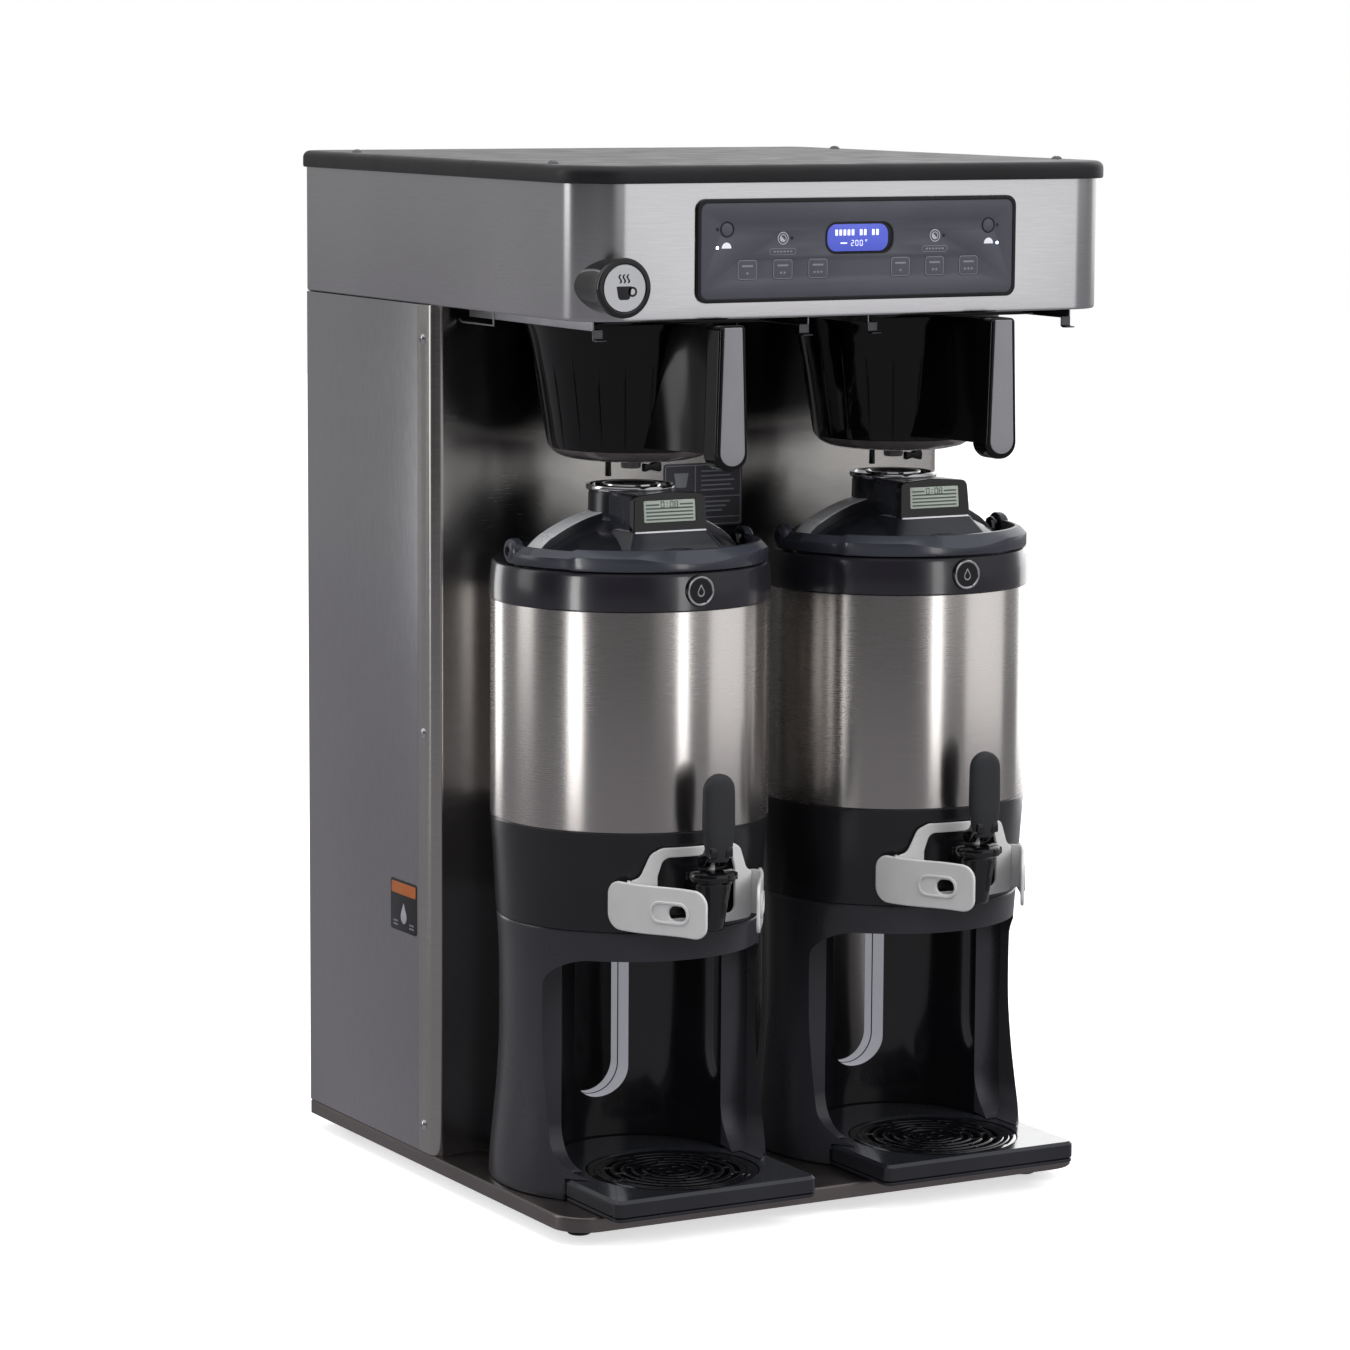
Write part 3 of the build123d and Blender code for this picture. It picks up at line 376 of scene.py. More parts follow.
class Surface(Nodes):
    """A material built round one Principled shader."""

    def __init__(self, name):
        self.material = bpy.data.materials.new(name)
        super().__init__(self.material)
        self.out = self.node("ShaderNodeOutputMaterial")
        self.bsdf = self.node("ShaderNodeBsdfPrincipled")
        self.link(self.bsdf, "BSDF", self.out, "Surface")
        self.coordinates = self.node("ShaderNodeTexCoord")

    def set(self, **values):
        for key, value in values.items():
            self.bsdf.inputs[key.replace("_", " ")].default_value = value

    def noise(self, scale, detail=4.0, stretch=(1, 1, 1), roughness=0.55):
        mapping = self.node("ShaderNodeMapping")
        mapping.inputs["Scale"].default_value = stretch
        self.link(self.coordinates, "Object", mapping, "Vector")
        node = self.node("ShaderNodeTexNoise")
        node.inputs["Scale"].default_value = scale
        node.inputs["Detail"].default_value = detail
        node.inputs["Roughness"].default_value = roughness
        self.link(mapping, "Vector", node, "Vector")
        return node

    def two_tone(self, source, dark, light):
        """Colour that wanders between two tones with the source."""
        tint = self.spread(source, 0, 1)
        mix = self.node("ShaderNodeMix", data_type="RGBA")
        mix.inputs[MIX_A].default_value = (*linear(dark), 1)
        mix.inputs[MIX_B].default_value = (*linear(light), 1)
        self.link(tint, "Result", mix, 0)
        return mix

    def colour(self, mix):
        self.link(mix, MIX_RESULT, self.bsdf, "Base Color")

    def roughness(self, source, low, high):
        self.link(self.spread(source, low, high), "Result", self.bsdf, "Roughness")

    def bump(self, source, strength, distance):
        node = self.node("ShaderNodeBump")
        node.inputs["Strength"].default_value = strength
        node.inputs["Distance"].default_value = distance
        self.link(source, "Fac", node, "Height")
        self.link(node, "Normal", self.bsdf, "Normal")


def linear(code):
    """sRGB hex to linear."""
    values = [int(code[i:i + 2], 16) / 255 for i in (0, 2, 4)]
    return tuple(c / 12.92 if c <= 0.04045 else ((c + 0.055) / 1.055) ** 2.4 for c in values)


def steel(name, dark, light, rough, stretch, scale, bump, anisotropy=0.0):
    """Brushed metal: stretched grain over a faint cloudy variation."""
    s = Surface(name)
    grain = s.noise(scale, 4, stretch, roughness=0.65)
    cloud = s.noise(3.5, detail=2)
    base = s.two_tone(cloud, dark, light)
    grain_tone = s.spread(grain, 0.93, 1.05)
    tinted = s.node("ShaderNodeMix", data_type="RGBA", blend_type="MULTIPLY")
    tinted.inputs[0].default_value = 1.0
    s.link(base, MIX_RESULT, tinted, MIX_A)
    s.link(grain_tone, "Result", tinted, MIX_B)
    s.colour(tinted)
    grain_rough = s.spread(grain, *rough, start=0.25, end=0.75)
    total = s.node("ShaderNodeMath", operation="ADD")
    haze = s.spread(cloud, -0.03, 0.05)
    s.link(grain_rough, "Result", total, 0)
    s.link(haze, "Result", total, 1)
    s.link(total, "Value", s.bsdf, "Roughness")
    s.bump(grain, strength=bump, distance=0.0004)
    s.set(Metallic=1.0)
    if anisotropy:
        s.set(Anisotropic=anisotropy)
        tangent = s.node("ShaderNodeTangent", direction_type="RADIAL", axis="Z")
        s.link(tangent, "Tangent", s.bsdf, "Tangent")
        s.set(Anisotropic_Rotation=0.25)
    return s.material


def plastic(name, dark, light, rough, scale, bump, coat=0.0, edge=None, specular=0.5):
    """Moulded plastic: fine texture, cloudy tone, and, if edge is given, a paler tone at grazing
    angles that is a painted rim highlight.
    """
    s = Surface(name)
    colour = s.two_tone(s.noise(9), dark, light)
    # painted rim highlight: the colour turns paler where the surface is seen at a grazing angle
    if edge:
        facing = s.node("ShaderNodeLayerWeight")
        facing.inputs["Blend"].default_value = 0.18
        rim = s.spread(facing, 0, 0.45, start=0.55, end=1.0, output="Facing")
        top = s.node("ShaderNodeMix", data_type="RGBA")
        s.link(rim, "Result", top, 0)
        s.link(colour, MIX_RESULT, top, MIX_A)
        top.inputs[MIX_B].default_value = (*linear(edge), 1)
        colour = top
    s.colour(colour)
    texture = s.noise(scale, detail=2, roughness=0.5)
    s.roughness(s.noise(30, detail=5, stretch=(1, 1, 0.4)), *rough)
    s.bump(texture, strength=bump * 0.3, distance=0.0003)
    s.set(Specular_IOR_Level=specular)
    if coat:
        s.set(Coat_Weight=coat, Coat_Roughness=0.04)
    return s.material


def glow(name, colour, strength, variation):
    s = Surface(name)
    level = s.spread(s.noise(60, detail=2), strength * (1 - variation), strength * (1 + variation))
    s.link(level, "Result", s.bsdf, "Emission Strength")
    s.set(Base_Color=(*linear(colour), 1), Emission_Color=(*linear(colour), 1), Roughness=0.25)
    return s.material


def smoky(name):
    s = Surface(name)
    cloud = s.noise(22)
    s.colour(s.two_tone(cloud, "6b6464", "8c8585"))
    s.roughness(cloud, 0.10, 0.20)
    s.bump(s.noise(45, detail=3), strength=0.25, distance=0.002)
    s.set(Transmission_Weight=0.25, IOR=1.46, Coat_Weight=0.4)
    return s.material


def milky(name):
    s = Surface(name)
    s.colour(s.two_tone(s.noise(16), "cacaca", "d8d8d8"))
    texture = s.noise(1300, detail=2)
    s.roughness(texture, 0.30, 0.40)
    s.bump(texture, strength=0.08, distance=0.0003)
    s.set(Subsurface_Weight=0.25, Subsurface_Scale=0.004, Subsurface_Radius=(1.0, 1.0, 1.0),
          Coat_Weight=0.15)
    return s.material


ALONG = (1, 1, 45)                        # stretch that lays the grain horizontally
# name, dark, light, roughness range, grain stretch, grain scale, bump, anisotropy
STEELS = (
    ("hood_steel", "bfbec0", "c9c8ca", (0.21, 0.23), ALONG, 55, 0.010, 0.75),
    ("panel_steel", "b0afb3", "b5b4b8", (0.20, 0.24), (12, 12, 1), 60, 0.012),
    ("splash_steel", "b9b6b3", "c4c1be", (0.18, 0.24), ALONG, 55, 0.025, 0.8),
    ("base_steel", "7f7876", "8b8482", (0.30, 0.38), ALONG, 30, 0.04, 0.5),
    ("inner_steel", "77777b", "87878b", (0.36, 0.48), (20, 2, 2), 60, 0.04),
    ("server_steel", "b8b4b1", "c1bdba", (0.24, 0.29), ALONG, 60, 0.022, 0.8),
    ("tank_steel", "a0a0a2", "b4b4b6", (0.30, 0.44), (1, 1, 30), 60, 0.06),
    ("screw_steel", "c9c9cc", "dedee0", (0.12, 0.22), (1, 1, 1), 300, 0.05),
    ("chrome", "dcdcde", "ececee", (0.04, 0.09), (1, 1, 1), 200, 0.01),
    ("rail_steel", "b9b9bd", "d2d2d5", (0.30, 0.40), (30, 2, 2), 60, 0.04),
    ("valve_brass", "a8874f", "bd9a5c", (0.28, 0.42), (1, 1, 1), 120, 0.08),
    ("heater_steel", "6f6a68", "8b8583", (0.30, 0.45), (1, 1, 20), 90, 0.10),
    ("badge_disc", "b4b5b8", "cfd0d3", (0.30, 0.40), (2, 2, 40), 120, 0.12),
)
# name, dark, light, roughness range, texture scale, bump, coat, grazing tone (a painted rim
# highlight), specular
PLASTICS = (
    ("lid_black", "131315", "1a1a1d", (0.34, 0.46), 1500, 0.22, 0, "34343a"),
    ("gloss_black", "08080a", "0d0d10", (0.06, 0.12), 700, 0.008, 0.5),
    ("funnel_black", "050506", "09090b", (0.07, 0.13), 600, 0.01, 0.15, None, 0.28),
    ("stand_black", "29292e", "313137", (0.26, 0.32), 420, 0.012, 0.12, "5c5c64"),
    ("collar_black", "17161b", "201e24", (0.17, 0.23), 900, 0.02, 0.15),
    ("stand_inner", "0c0c0f", "131317", (0.10, 0.17), 900, 0.02, 0.3),
    ("skirt_black", "131215", "1c1a1d", (0.21, 0.27), 420, 0.012, 0.1),
    ("bail_grey", "24262d", "30323a", (0.23, 0.29), 420, 0.012, 0.2, "5d6068"),
    ("lid_grey_black", "1d1e23", "282a30", (0.16, 0.24), 1500, 0.04, 0.3, "4d4f57"),
    ("strap_grey", "222328", "2c2d33", (0.20, 0.28), 1500, 0.06, 0.2, "5c5e66"),
    # pale grey for the strap's upward faces: painted light on its lit top
    ("strap_top", "d2d3d6", "dedfe2", (0.22, 0.30), 1500, 0.05, 0.2),
    # paler grey for the bail's front chamfer: painted light on faces that slope up
    ("bail_top", "34363e", "3f424a", (0.20, 0.28), 1500, 0.05, 0.25),
    # paler grey for the wall of the rear hand slot: painted light
    ("slot_wall", "8f9098", "a2a3aa", (0.26, 0.34), 1300, 0.05, 0.1),
    ("lever_grey", "232427", "2b2c2f", (0.42, 0.55), 1300, 0.20, 0, "4a4b50"),
    ("insert_grey", "78787c", "85858a", (0.34, 0.46), 1200, 0.08, 0, "a5a6ad"),
    ("tray_black", "1c1d21", "27282d", (0.12, 0.20), 1200, 0.03, 0.25, "4a4c54"),
    ("key_grey", "45464d", "4f5058", (0.36, 0.48), 1500, 0.06),
    ("panel_overlay", "44454c", "4d4e56", (0.38, 0.50), 1500, 0.08),
    ("panel_black", "101012", "17171a", (0.24, 0.34), 1500, 0.04),
    ("print_grey", "a9abb3", "b6b8c0", (0.45, 0.55), 1500, 0.03),
    ("print_dim", "777982", "83858e", (0.45, 0.55), 1500, 0.03),
    ("print_white", "e4e6ea", "f2f4f8", (0.40, 0.50), 1500, 0.03),
    ("mark_dark", "1a1a1d", "222226", (0.4, 0.5), 1500, 0.03),
    ("label_orange", "b8632a", "c8743a", (0.40, 0.50), 1200, 0.04),
    ("label_grey", "55555d", "5f5f68", (0.40, 0.50), 1200, 0.04),
    ("foot_rubber", "0d0d0e", "161617", (0.60, 0.75), 1100, 0.30),
    ("silicone", "c9cbc8", "dadcd9", (0.40, 0.50), 900, 0.05),
    ("board_green", "1c4a2c", "245a36", (0.35, 0.5), 900, 0.10),
    ("spray_plastic", "d5d3ca", "e2e0d8", (0.30, 0.40), 900, 0.04),
    ("lcd_pale", "a2aaa1", "b0b8af", (0.20, 0.28), 1500, 0.01),
    ("lcd_ink", "44504b", "4e5a55", (0.25, 0.35), 1500, 0.01),
)
# name, colour, emission strength, variation
GLOWS = (
    ("display_blue", "4650a8", 0.62, 0.08),
    ("display_pixels", "c4c8f4", 1.1, 0.05),
    ("led_blue", "b9d4ff", 9.0, 0.05),
)
MATERIALS = {}
for maker, rows in ((steel, STEELS), (plastic, PLASTICS), (glow, GLOWS)):
    for row in rows:
        MATERIALS[row[0]] = maker(*row)
# painted light: the hand slot's wall glows faintly, standing in for light coming through the slot
painted_glow_inputs = MATERIALS["slot_wall"].node_tree.nodes["Principled BSDF"].inputs
painted_glow_inputs["Emission Color"].default_value = (*linear("c9cad2"), 1)
painted_glow_inputs["Emission Strength"].default_value = 0.34
MATERIALS["funnel_smoky"] = smoky("funnel_smoky")
MATERIALS["guard_white"] = milky("guard_white")


# ------------------------------------------------------------------------- pieces
def finish_mesh(mesh, name, materials, angle, pick=None):
    """mm to metres, materials and shading; pick(face) gives a face's material slot."""
    mesh.name = name
    mesh.transform(Matrix.Scale(MM, 4))
    mesh.materials.clear()
    for material in materials:
        mesh.materials.append(MATERIALS[material])
    mesh.shade_smooth()
    mesh.set_sharp_from_angle(angle=radians(angle))
    for face in mesh.polygons:
        face.material_index = pick(face) if pick else 0


def mount(name, mesh, body, replaces, location=(0, 0, 0), even=False):
    obj = bpy.data.objects.new(name, mesh)
    SCENE_OBJECTS.link(obj)
    obj.location = location
    if even:                              # evens the shading round boolean cuts
        mod = obj.modifiers.new("even", "WEIGHTED_NORMAL")
        mod.mode, mod.weight, mod.keep_sharp = "FACE_AREA", 50, True
    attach(obj, body)
    if replaces:
        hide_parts(replaces)


def piece(name, mesh, material, replaces=None, angle=32, body="cabinet"):
    """One piece that rides on a body."""
    finish_mesh(mesh, name, [material], angle)
    mount(name, mesh, body, replaces)


def pair(name, mesh, materials, body, slot, replaces=None, angle=32, pick=None, even=False):
    """The same mesh on both stations; body and replaces are named without their side."""
    finish_mesh(mesh, name, materials.split(), angle, pick)
    for side, sign in SIDES:
        mount(f"{side}_{name}", mesh, f"{side}_{body}", replaces and f"{side}_{replaces}",
              (sign * STATION_X / 1000, STATION_Y / 1000, 0), even)


def paint_cad(node, material):
    """A carried-over CAD node keeps its mesh and gets a material."""
    data = frame["nodes"][node].data
    data.materials.clear()
    data.materials.append(MATERIALS[material])
    for face in data.polygons:
        face.material_index = 0


# ------------------------------------------------------------------------ cabinet
HALF_WIDTH, FRONT_Y, BACK_Y = 260.0, -266.0, 266.0
LID_OVERHANG = 6.0
LID_TOP = 903.0
HOOD_PLAN = dict(half_width=HALF_WIDTH, front=FRONT_Y, back=BACK_Y, front_radius=42.0,
                 rear_radius=4.0)
LID_PLAN = dict(half_width=HALF_WIDTH + LID_OVERHANG, front=FRONT_Y - LID_OVERHANG,
                back=BACK_Y + LID_OVERHANG, front_radius=42.0 + LID_OVERHANG, rear_radius=18.0)
BASE_PLAN = dict(half_width=HALF_WIDTH, front=-245.6, back=BACK_Y, front_radius=31.0,
                 rear_radius=4.0)
SCREW_ZS = (50.0, 401.0, 746.0)           # side and rear screws
SIDE_SCREW_Y = 27.5
LID_SCREWS = ((-249.0, -191.6), (249.0, -191.6), (-249.0, 180.0), (249.0, 180.0))
FOOT_SPOTS = ((-226.0, -200.0), (226.0, -200.0), (-226.0, 230.0), (226.0, 230.0))
PANEL_Z = 832.3                           # middle of the control panel
# drop outline on the service plate
PLATE_DROP = ((0, 9.5), (2.6, 4.6), (5.0, 0.4), (5.9, -3.0), (5.0, -6.4), (2.8, -8.6),
              (0, -9.4), (-2.8, -8.6), (-5.0, -6.4), (-5.9, -3.0), (-5.0, 0.4), (-2.6, 4.6))


def plan_rings(profile, half_width, front, back, front_radius, rear_radius):
    """Rings round a cabinet plan for each (inset, z) of the profile."""
    rings = []
    for inset, z in profile:
        x = half_width - inset
        f, r = max(front_radius - inset, 0.4), max(rear_radius - inset, 0.4)
        outline = rounded_polygon([(-x, front + inset, f), (x, front + inset, f),
                                   (x, back - inset, r), (-x, back - inset, r)], 14)
        rings.append([(px, py, z) for px, py in outline])
    return rings


def shoulder(radius, z, steps):
    """(inset, z) points of a quarter round that ends on top."""
    angles = [radians(90 * k / steps) for k in range(1, steps + 1)]
    return [(radius * (1 - cos(a)), z + radius * sin(a)) for a in angles]


def build_hood():
    """Wrapped sheet with a rolled lower edge, an inward flange and the panel opening."""
    profile = [(0.0, 888.0), (0.0, 779.0), (0.3, 777.4), (1.2, 776.3), (2.6, 776.0),
               (12.0, 776.0), (12.0, 777.2), (3.0, 777.2), (1.9, 777.6), (1.5, 778.6),
               (1.5, 888.0)]
    opening = front_plate([rounded_rect(300, 73.4, 6, 0, PANEL_Z)], 255, 275)
    mesh = boolean(loft(plan_rings(profile, **HOOD_PLAN), looped=True), [opening])
    piece("hood_wrap", mesh, "hood_steel", "hood_shell", 24)


def build_lid_moulding():
    """Drooping lip, rounded rim and a very slightly crowned top; the middle is a core."""
    profile = [(4.6, 888.15), (0.9, 888.15), (0.2, 888.9), (0.0, 890.4), (0.0, 896.0)]
    profile += shoulder(6.5, 896.3, 8)
    profile += [(9.0, 902.9), (14.0, 902.95), (60.0, LID_TOP), (150.0, LID_TOP), (150.0, 899.0),
                (16.0, 899.0), (13.0, 897.0), (12.0, 892.0), (11.0, 888.15)]
    rim = loft(plan_rings(profile, **LID_PLAN), looped=True)
    core = loft(plan_rings([(149.9, 899.0), (149.9, LID_TOP)], **LID_PLAN))
    piece("lid_moulding", boolean(rim, [core], "UNION"), "lid_black", "top_lid", 26)


def build_screws():
    """Truss heads with a cross recess."""
    head = lathe([(0, 2.6), (1.6, 2.45), (3.0, 1.95), (4.0, 1.2), (4.65, 0.45), (4.8, 0.05),
                  (2.0, 0.05), (2.0, -8), (0, -8)], segments=40)
    cross = [box((-x, -y, 1.2), (x, y, 4)) for x, y in ((2.6, 0.45), (0.45, 2.6))]
    head = bevel(boolean(head, cross), 0.08, 1, 40)
    spots = [(Matrix.Translation((x, y, LID_TOP)), f"lid_screw_{i}", "inner_steel")
             for i, (x, y) in enumerate(LID_SCREWS)]
    for i, z in enumerate(SCREW_ZS):
        for side, tag in ((-1, "l"), (1, "r")):
            rear = Matrix(((-1, 0, 0, side * 250.0), (0, 0, 1, BACK_Y), (0, 1, 0, z),
                           (0, 0, 0, 1)))
            outward = facing_side(side, HALF_WIDTH, SIDE_SCREW_Y, z)
            spots.append((outward, f"side_screw_{i}_{tag}", "screw_steel"))
            spots.append((rear, f"rear_screw_{i}_{tag}", "screw_steel"))
    for i, (place, name, material) in enumerate(spots):
        turn = Matrix.Rotation(radians(17 + 37 * i), 4, "Z")
        piece(name, moved(head, place @ turn), material, "cabinet_screws")


def screw_holes(side, x, low, high):
    return [rod(2.2, low, high, 20, place=facing_side(side, x, SIDE_SCREW_Y, z))
            for z in SCREW_ZS]


def build_sheets():
    """Folded side sheets with a joggled front lap and a rear flange, and the splash sheet."""
    section = ((37.7, 260.0), (37.7, 258.5), (19.0, 258.4), (19.0, 257.2), (46.0, 257.2),
               (47.2, 258.5), (262.4, 258.5), (262.4, 243.0), (263.9, 243.0),
               (263.9, 260.0))            # (y, distance from the middle)
    for side, sign in SIDES:
        outline = rounded_polygon([(sign * x, y, 0.25) for y, x in section], 3)
        mesh = plate([outline], 25.3, 775.7, 0.2, 1)
        mesh = boolean(mesh, screw_holes(sign, 257.0, -6, 8))
        piece(f"{side}_side_sheet", mesh, "panel_steel", f"{side}_side_panel")

    def fold(x, y, radius):
        return rounded_polygon([(-x, 37.3), (-x, y, radius), (x, y, radius), (x, 37.3)], 12)

    outline = fold(260, 7.3, 10) + fold(258.7, 8.6, 8.7)[::-1]
    mesh = boolean(plate([outline], 25.2, 775.8, 0.25), screw_holes(1, 0, -262, 262))
    piece("splash_sheet", mesh, "splash_steel", "splash_panel")


def build_base():
    """Base tray with a soft upper edge, its bosses and the rubber feet."""
    profile = [(26.0, 23.0), (2.4, 23.0), (2.0, 22.6), (2.0, 12.0), (0.4, 12.0), (0.0, 12.4),
               (0.0, 22.4)] + shoulder(2.2, 22.8, 5) + [(26.0, 25.0)]
    boss = [(4.0, 13.5), (8.6, 13.5), (9.0, 13.9), (9.0, 23.5), (4.0, 23.5)]
    foot = [(0, 0), (8.6, 0), (9.6, 0.5), (10.5, 1.8), (10.4, 3.4), (9.9, 5.0), (9.9, 5.6),
            (10.1, 6.0), (9.8, 8.6), (9.2, 10.6), (8.4, 11.7), (3.9, 11.8), (3.9, 23.0),
            (0, 23.0)]
    tray = loft(plan_rings(profile, **BASE_PLAN))
    bosses = join(*[lathe(boss, x, y, 36) for x, y in FOOT_SPOTS])
    feet = join(*[lathe(foot, x, y, 48) for x, y in FOOT_SPOTS])
    piece("base_tray", tray, "base_steel", "base_pan", 24)
    piece("base_bosses", bosses, "base_steel")
    piece("feet_rubber", feet, "foot_rubber", "leveling_feet", body="feet")


def build_service_plate():
    """Small plate on the left side with a band, a drop and four bars."""
    place = facing_side(-1, HALF_WIDTH, 66.5, 240.0)
    bars = [[rounded_rect(9, 1.6, 0.5, side * 16, -18 + 3.2 * k)]
            for side in (-1, 1) for k in (0, 1)]
    drop = [(x, y - 6.5) for x, y in PLATE_DROP]
    band = rounded_rect(48, 10.5, 1.6, 0, 15.5)
    piece("service_plate", plate([rounded_rect(52, 46, 3)], 0, 0.35, 0.1, 1, place), "mark_dark")
    piece("service_plate_band", plate([band], 0.3, 0.5, 0.05, 1, place), "label_orange")
    piece("service_plate_drop", plate([drop], 0.3, 0.5, 0.05, 1, place), "print_grey")
    piece("service_plate_bars", plates(bars, 0.3, 0.48, 0.04, 1, place), "print_dim")


def build_care_plate():
    """Plate on the splash sheet with a ruled frame, a cup and rows of bars."""
    place = facing_front(9.0, 7.3, 601.0)
    cup = rounded_polygon([(-30, 20, 0.6), (-15, 20, 0.6), (-17.5, 7, 1.5), (-27.5, 7, 1.5)], 4)
    lines = [[rounded_rect(78, 54, 2), rounded_rect(76.4, 52.4, 1.4)],
             [rounded_rect(76.4, 0.9, 0.3, 0, -2.0)],
             [rounded_rect(76.4, 0.9, 0.3, 0, -20.5)],
             [rounded_rect(0.9, 28, 0.3, -8, 12.0)],
             [cup]]
    bars = [[rounded_rect(34 - 3.5 * (k % 2), 1.3, 0.4, 15 - 1.7 * (k % 2), 21 - 4.2 * k)]
            for k in range(5)]
    bars += [[rounded_rect(56 - 8 * k, 1.3, 0.4, 0, -6.5 - 4.0 * k)] for k in range(3)]
    piece("care_plate", plate([rounded_rect(81, 57, 3)], 0, 0.35, 0.1, 1, place), "label_grey")
    piece("care_plate_lines", join(plates(lines, 0.3, 0.5, 0.04, 1, place),
                                   plates(bars, 0.3, 0.45, 0.04, 1, place)), "print_grey")


# ----------------------------------------------------------------------- controls
KEY_XS, KEY_Z = (40.5, 74.5, 108.5), 816.5
HALF_KEY_X, HALF_KEY_Z = KEY_XS[1], 842.0
POWER_KEY_X, POWER_KEY_Z = 128.0, 850.0
LED_X, LED_Z = 137.2, 835.0
DISPLAY_Z = 841.5
PANEL_BACK = 266.05                       # distances towards the front
PRINT = (268.33, 268.42)
KEY_PRINT = (268.45, 268.56)
# seven-segment bars: x, y, whether the bar lies flat
SEGMENTS = {"a": (0, 2.3, 1), "b": (1.2, 1.2, 0), "c": (1.2, -1.2, 0), "d": (0, -2.3, 1),
            "e": (-1.2, -1.2, 0), "f": (-1.2, 1.2, 0), "g": (0, 0, 1)}
DIGITS = {"2": "abged", "0": "abcdef", "8": "abcdefg"}


def digit_shapes(text, x, y, pitch, stretch, bar):
    """Shapes of digits and colons; bar is the (length, width) of one segment."""
    shapes = []
    for i, char in enumerate(text):
        at = x + pitch * i
        if char == ":":
            shapes += [[rounded_rect(0.9, 0.9, 0.1, at, y + s * 1.2, 2)] for s in (-1, 1)]
            continue
        for key in DIGITS[char]:
            dx, dy, flat = SEGMENTS[key]
            width, height = bar if flat else bar[::-1]
            shapes.append([rounded_rect(width, height, 0.15, at + dx * stretch[0],
                                        y + dy * stretch[1], 2)])
    return shapes


def build_panel():
    """Black border round a recessed grey overlay with openings for keys and display."""
    window = rounded_rect(64.2, 24.2, 9.5, 0, DISPLAY_Z)
    openings = []
    for side in (-1, 1):
        openings += [rounded_rect(19.6, 17.1, 3.2, side * x, KEY_Z, 5) for x in KEY_XS]
        openings.append(circle(5.75, side * HALF_KEY_X, HALF_KEY_Z, 32))
        openings.append(circle(5.55, side * POWER_KEY_X, POWER_KEY_Z, 32))
    border = [rounded_rect(312, 85.4, 9, 0, PANEL_Z, 10),
              rounded_rect(305, 78.4, 6.5, 0, PANEL_Z, 10)]
    overlay = [rounded_rect(305.2, 78.6, 6.6, 0, PANEL_Z, 10), window] + openings
    piece("panel_border", front_plate(border, PANEL_BACK, 269.0, 0.7, 3), "panel_black")
    piece("panel_overlay", front_plate(overlay, PANEL_BACK, 268.35, 0.1, 1), "panel_overlay",
          "control_panel")
    key_lips = [ring(6.55, 5.7, side * POWER_KEY_X, POWER_KEY_Z, 32) for side in (-1, 1)]
    window_lip = [rounded_rect(66.6, 26.6, 10.6, 0.0, DISPLAY_Z), window]
    piece("panel_lips", join(plates(key_lips, 268.3, 268.75, 0.15, 1),
                             front_plate(window_lip, 268.3, 268.8, 0.15, 1)), "panel_black")


def build_display():
    """Dark glass with a lit blue field, bars, digits, a dash and a small ring."""
    glass = rounded_rect(63.9, 23.9, 9.4, 0, DISPLAY_Z)
    field = rounded_rect(59.4, 22.6, 8.6, -1.8, DISPLAY_Z)
    shapes = [[rounded_rect(2.6, 5.0, 0.4, -22.6 + 4.0 * k, 845.8, 2)]
              for k in range(11) if k not in (5, 8)]
    shapes += digit_shapes("200", -7.0, 837.0, pitch=4.3, stretch=(0.95, 0.95),
                           bar=(1.9, 0.589))
    shapes += [[rounded_rect(6.5, 1.1, 0.3, -15.5, 837.0, 2)], ring(0.9, 0.5, 6.4, 839.0, 16)]
    piece("display_glass", front_plate([glass], 266.1, 268.2, 0.1, 1), "panel_black",
          "display_window")
    piece("display_field", front_plate([field], 268.15, 268.35, 0.05, 1), "display_blue")
    piece("display_pixels", plates(shapes, 268.3, 268.42), "display_pixels")


def build_panel_print():
    """Printed outlines, dots, half discs and lit dots on the overlay."""
    outlines, dashes, dots, half_discs, leds = [], [], [], [], []
    for side in (-1, 1):
        x, led_x = side * HALF_KEY_X, side * LED_X
        outlines.append([rounded_rect(25.5, 5.4, 2.6, x, 831.0, 6),
                         rounded_rect(24.7, 4.6, 2.2, x, 831.0, 6)])
        dashes += [[rounded_rect(2.1, 1.5, 0.3, x - 8.0 + 3.2 * k, 831.0, 2)] for k in range(6)]
        dots.append(plates([[circle(1.5, x + 8.6, HALF_KEY_Z, 20)],
                            [circle(1.5, led_x, POWER_KEY_Z, 20)]], *PRINT))
        dots.append(front_plate(ring(1.9, 1.35, led_x, LED_Z, 20), PRINT[0], 268.5))
        angles = [radians(a) for a in range(0, 181, 12)]
        half_discs.append([[(side * 128.5 + 4.6 * cos(a), 836.4 + (4.9 * sin(a) - 2.0))
                            for a in angles]])
        leds.append([circle(1.25, led_x, LED_Z, 20)])
    piece("panel_print", plates(outlines, PRINT[0], 268.4), "print_dim")
    piece("panel_print_dim", plates(dashes, PRINT[0], 268.4), "print_dim")
    piece("panel_dots", join(*dots), "mark_dark")
    piece("panel_icons", plates(half_discs, *PRINT), "print_white")
    piece("panel_leds", plates(leds, 268.2, 268.6, 0.2), "led_blue")


def key_cap(body, outline, face=268.5, edge=0.25):
    piece(f"{body}_cap", front_plate([outline], 264.6, face, edge), "key_grey", body,
          body=body)


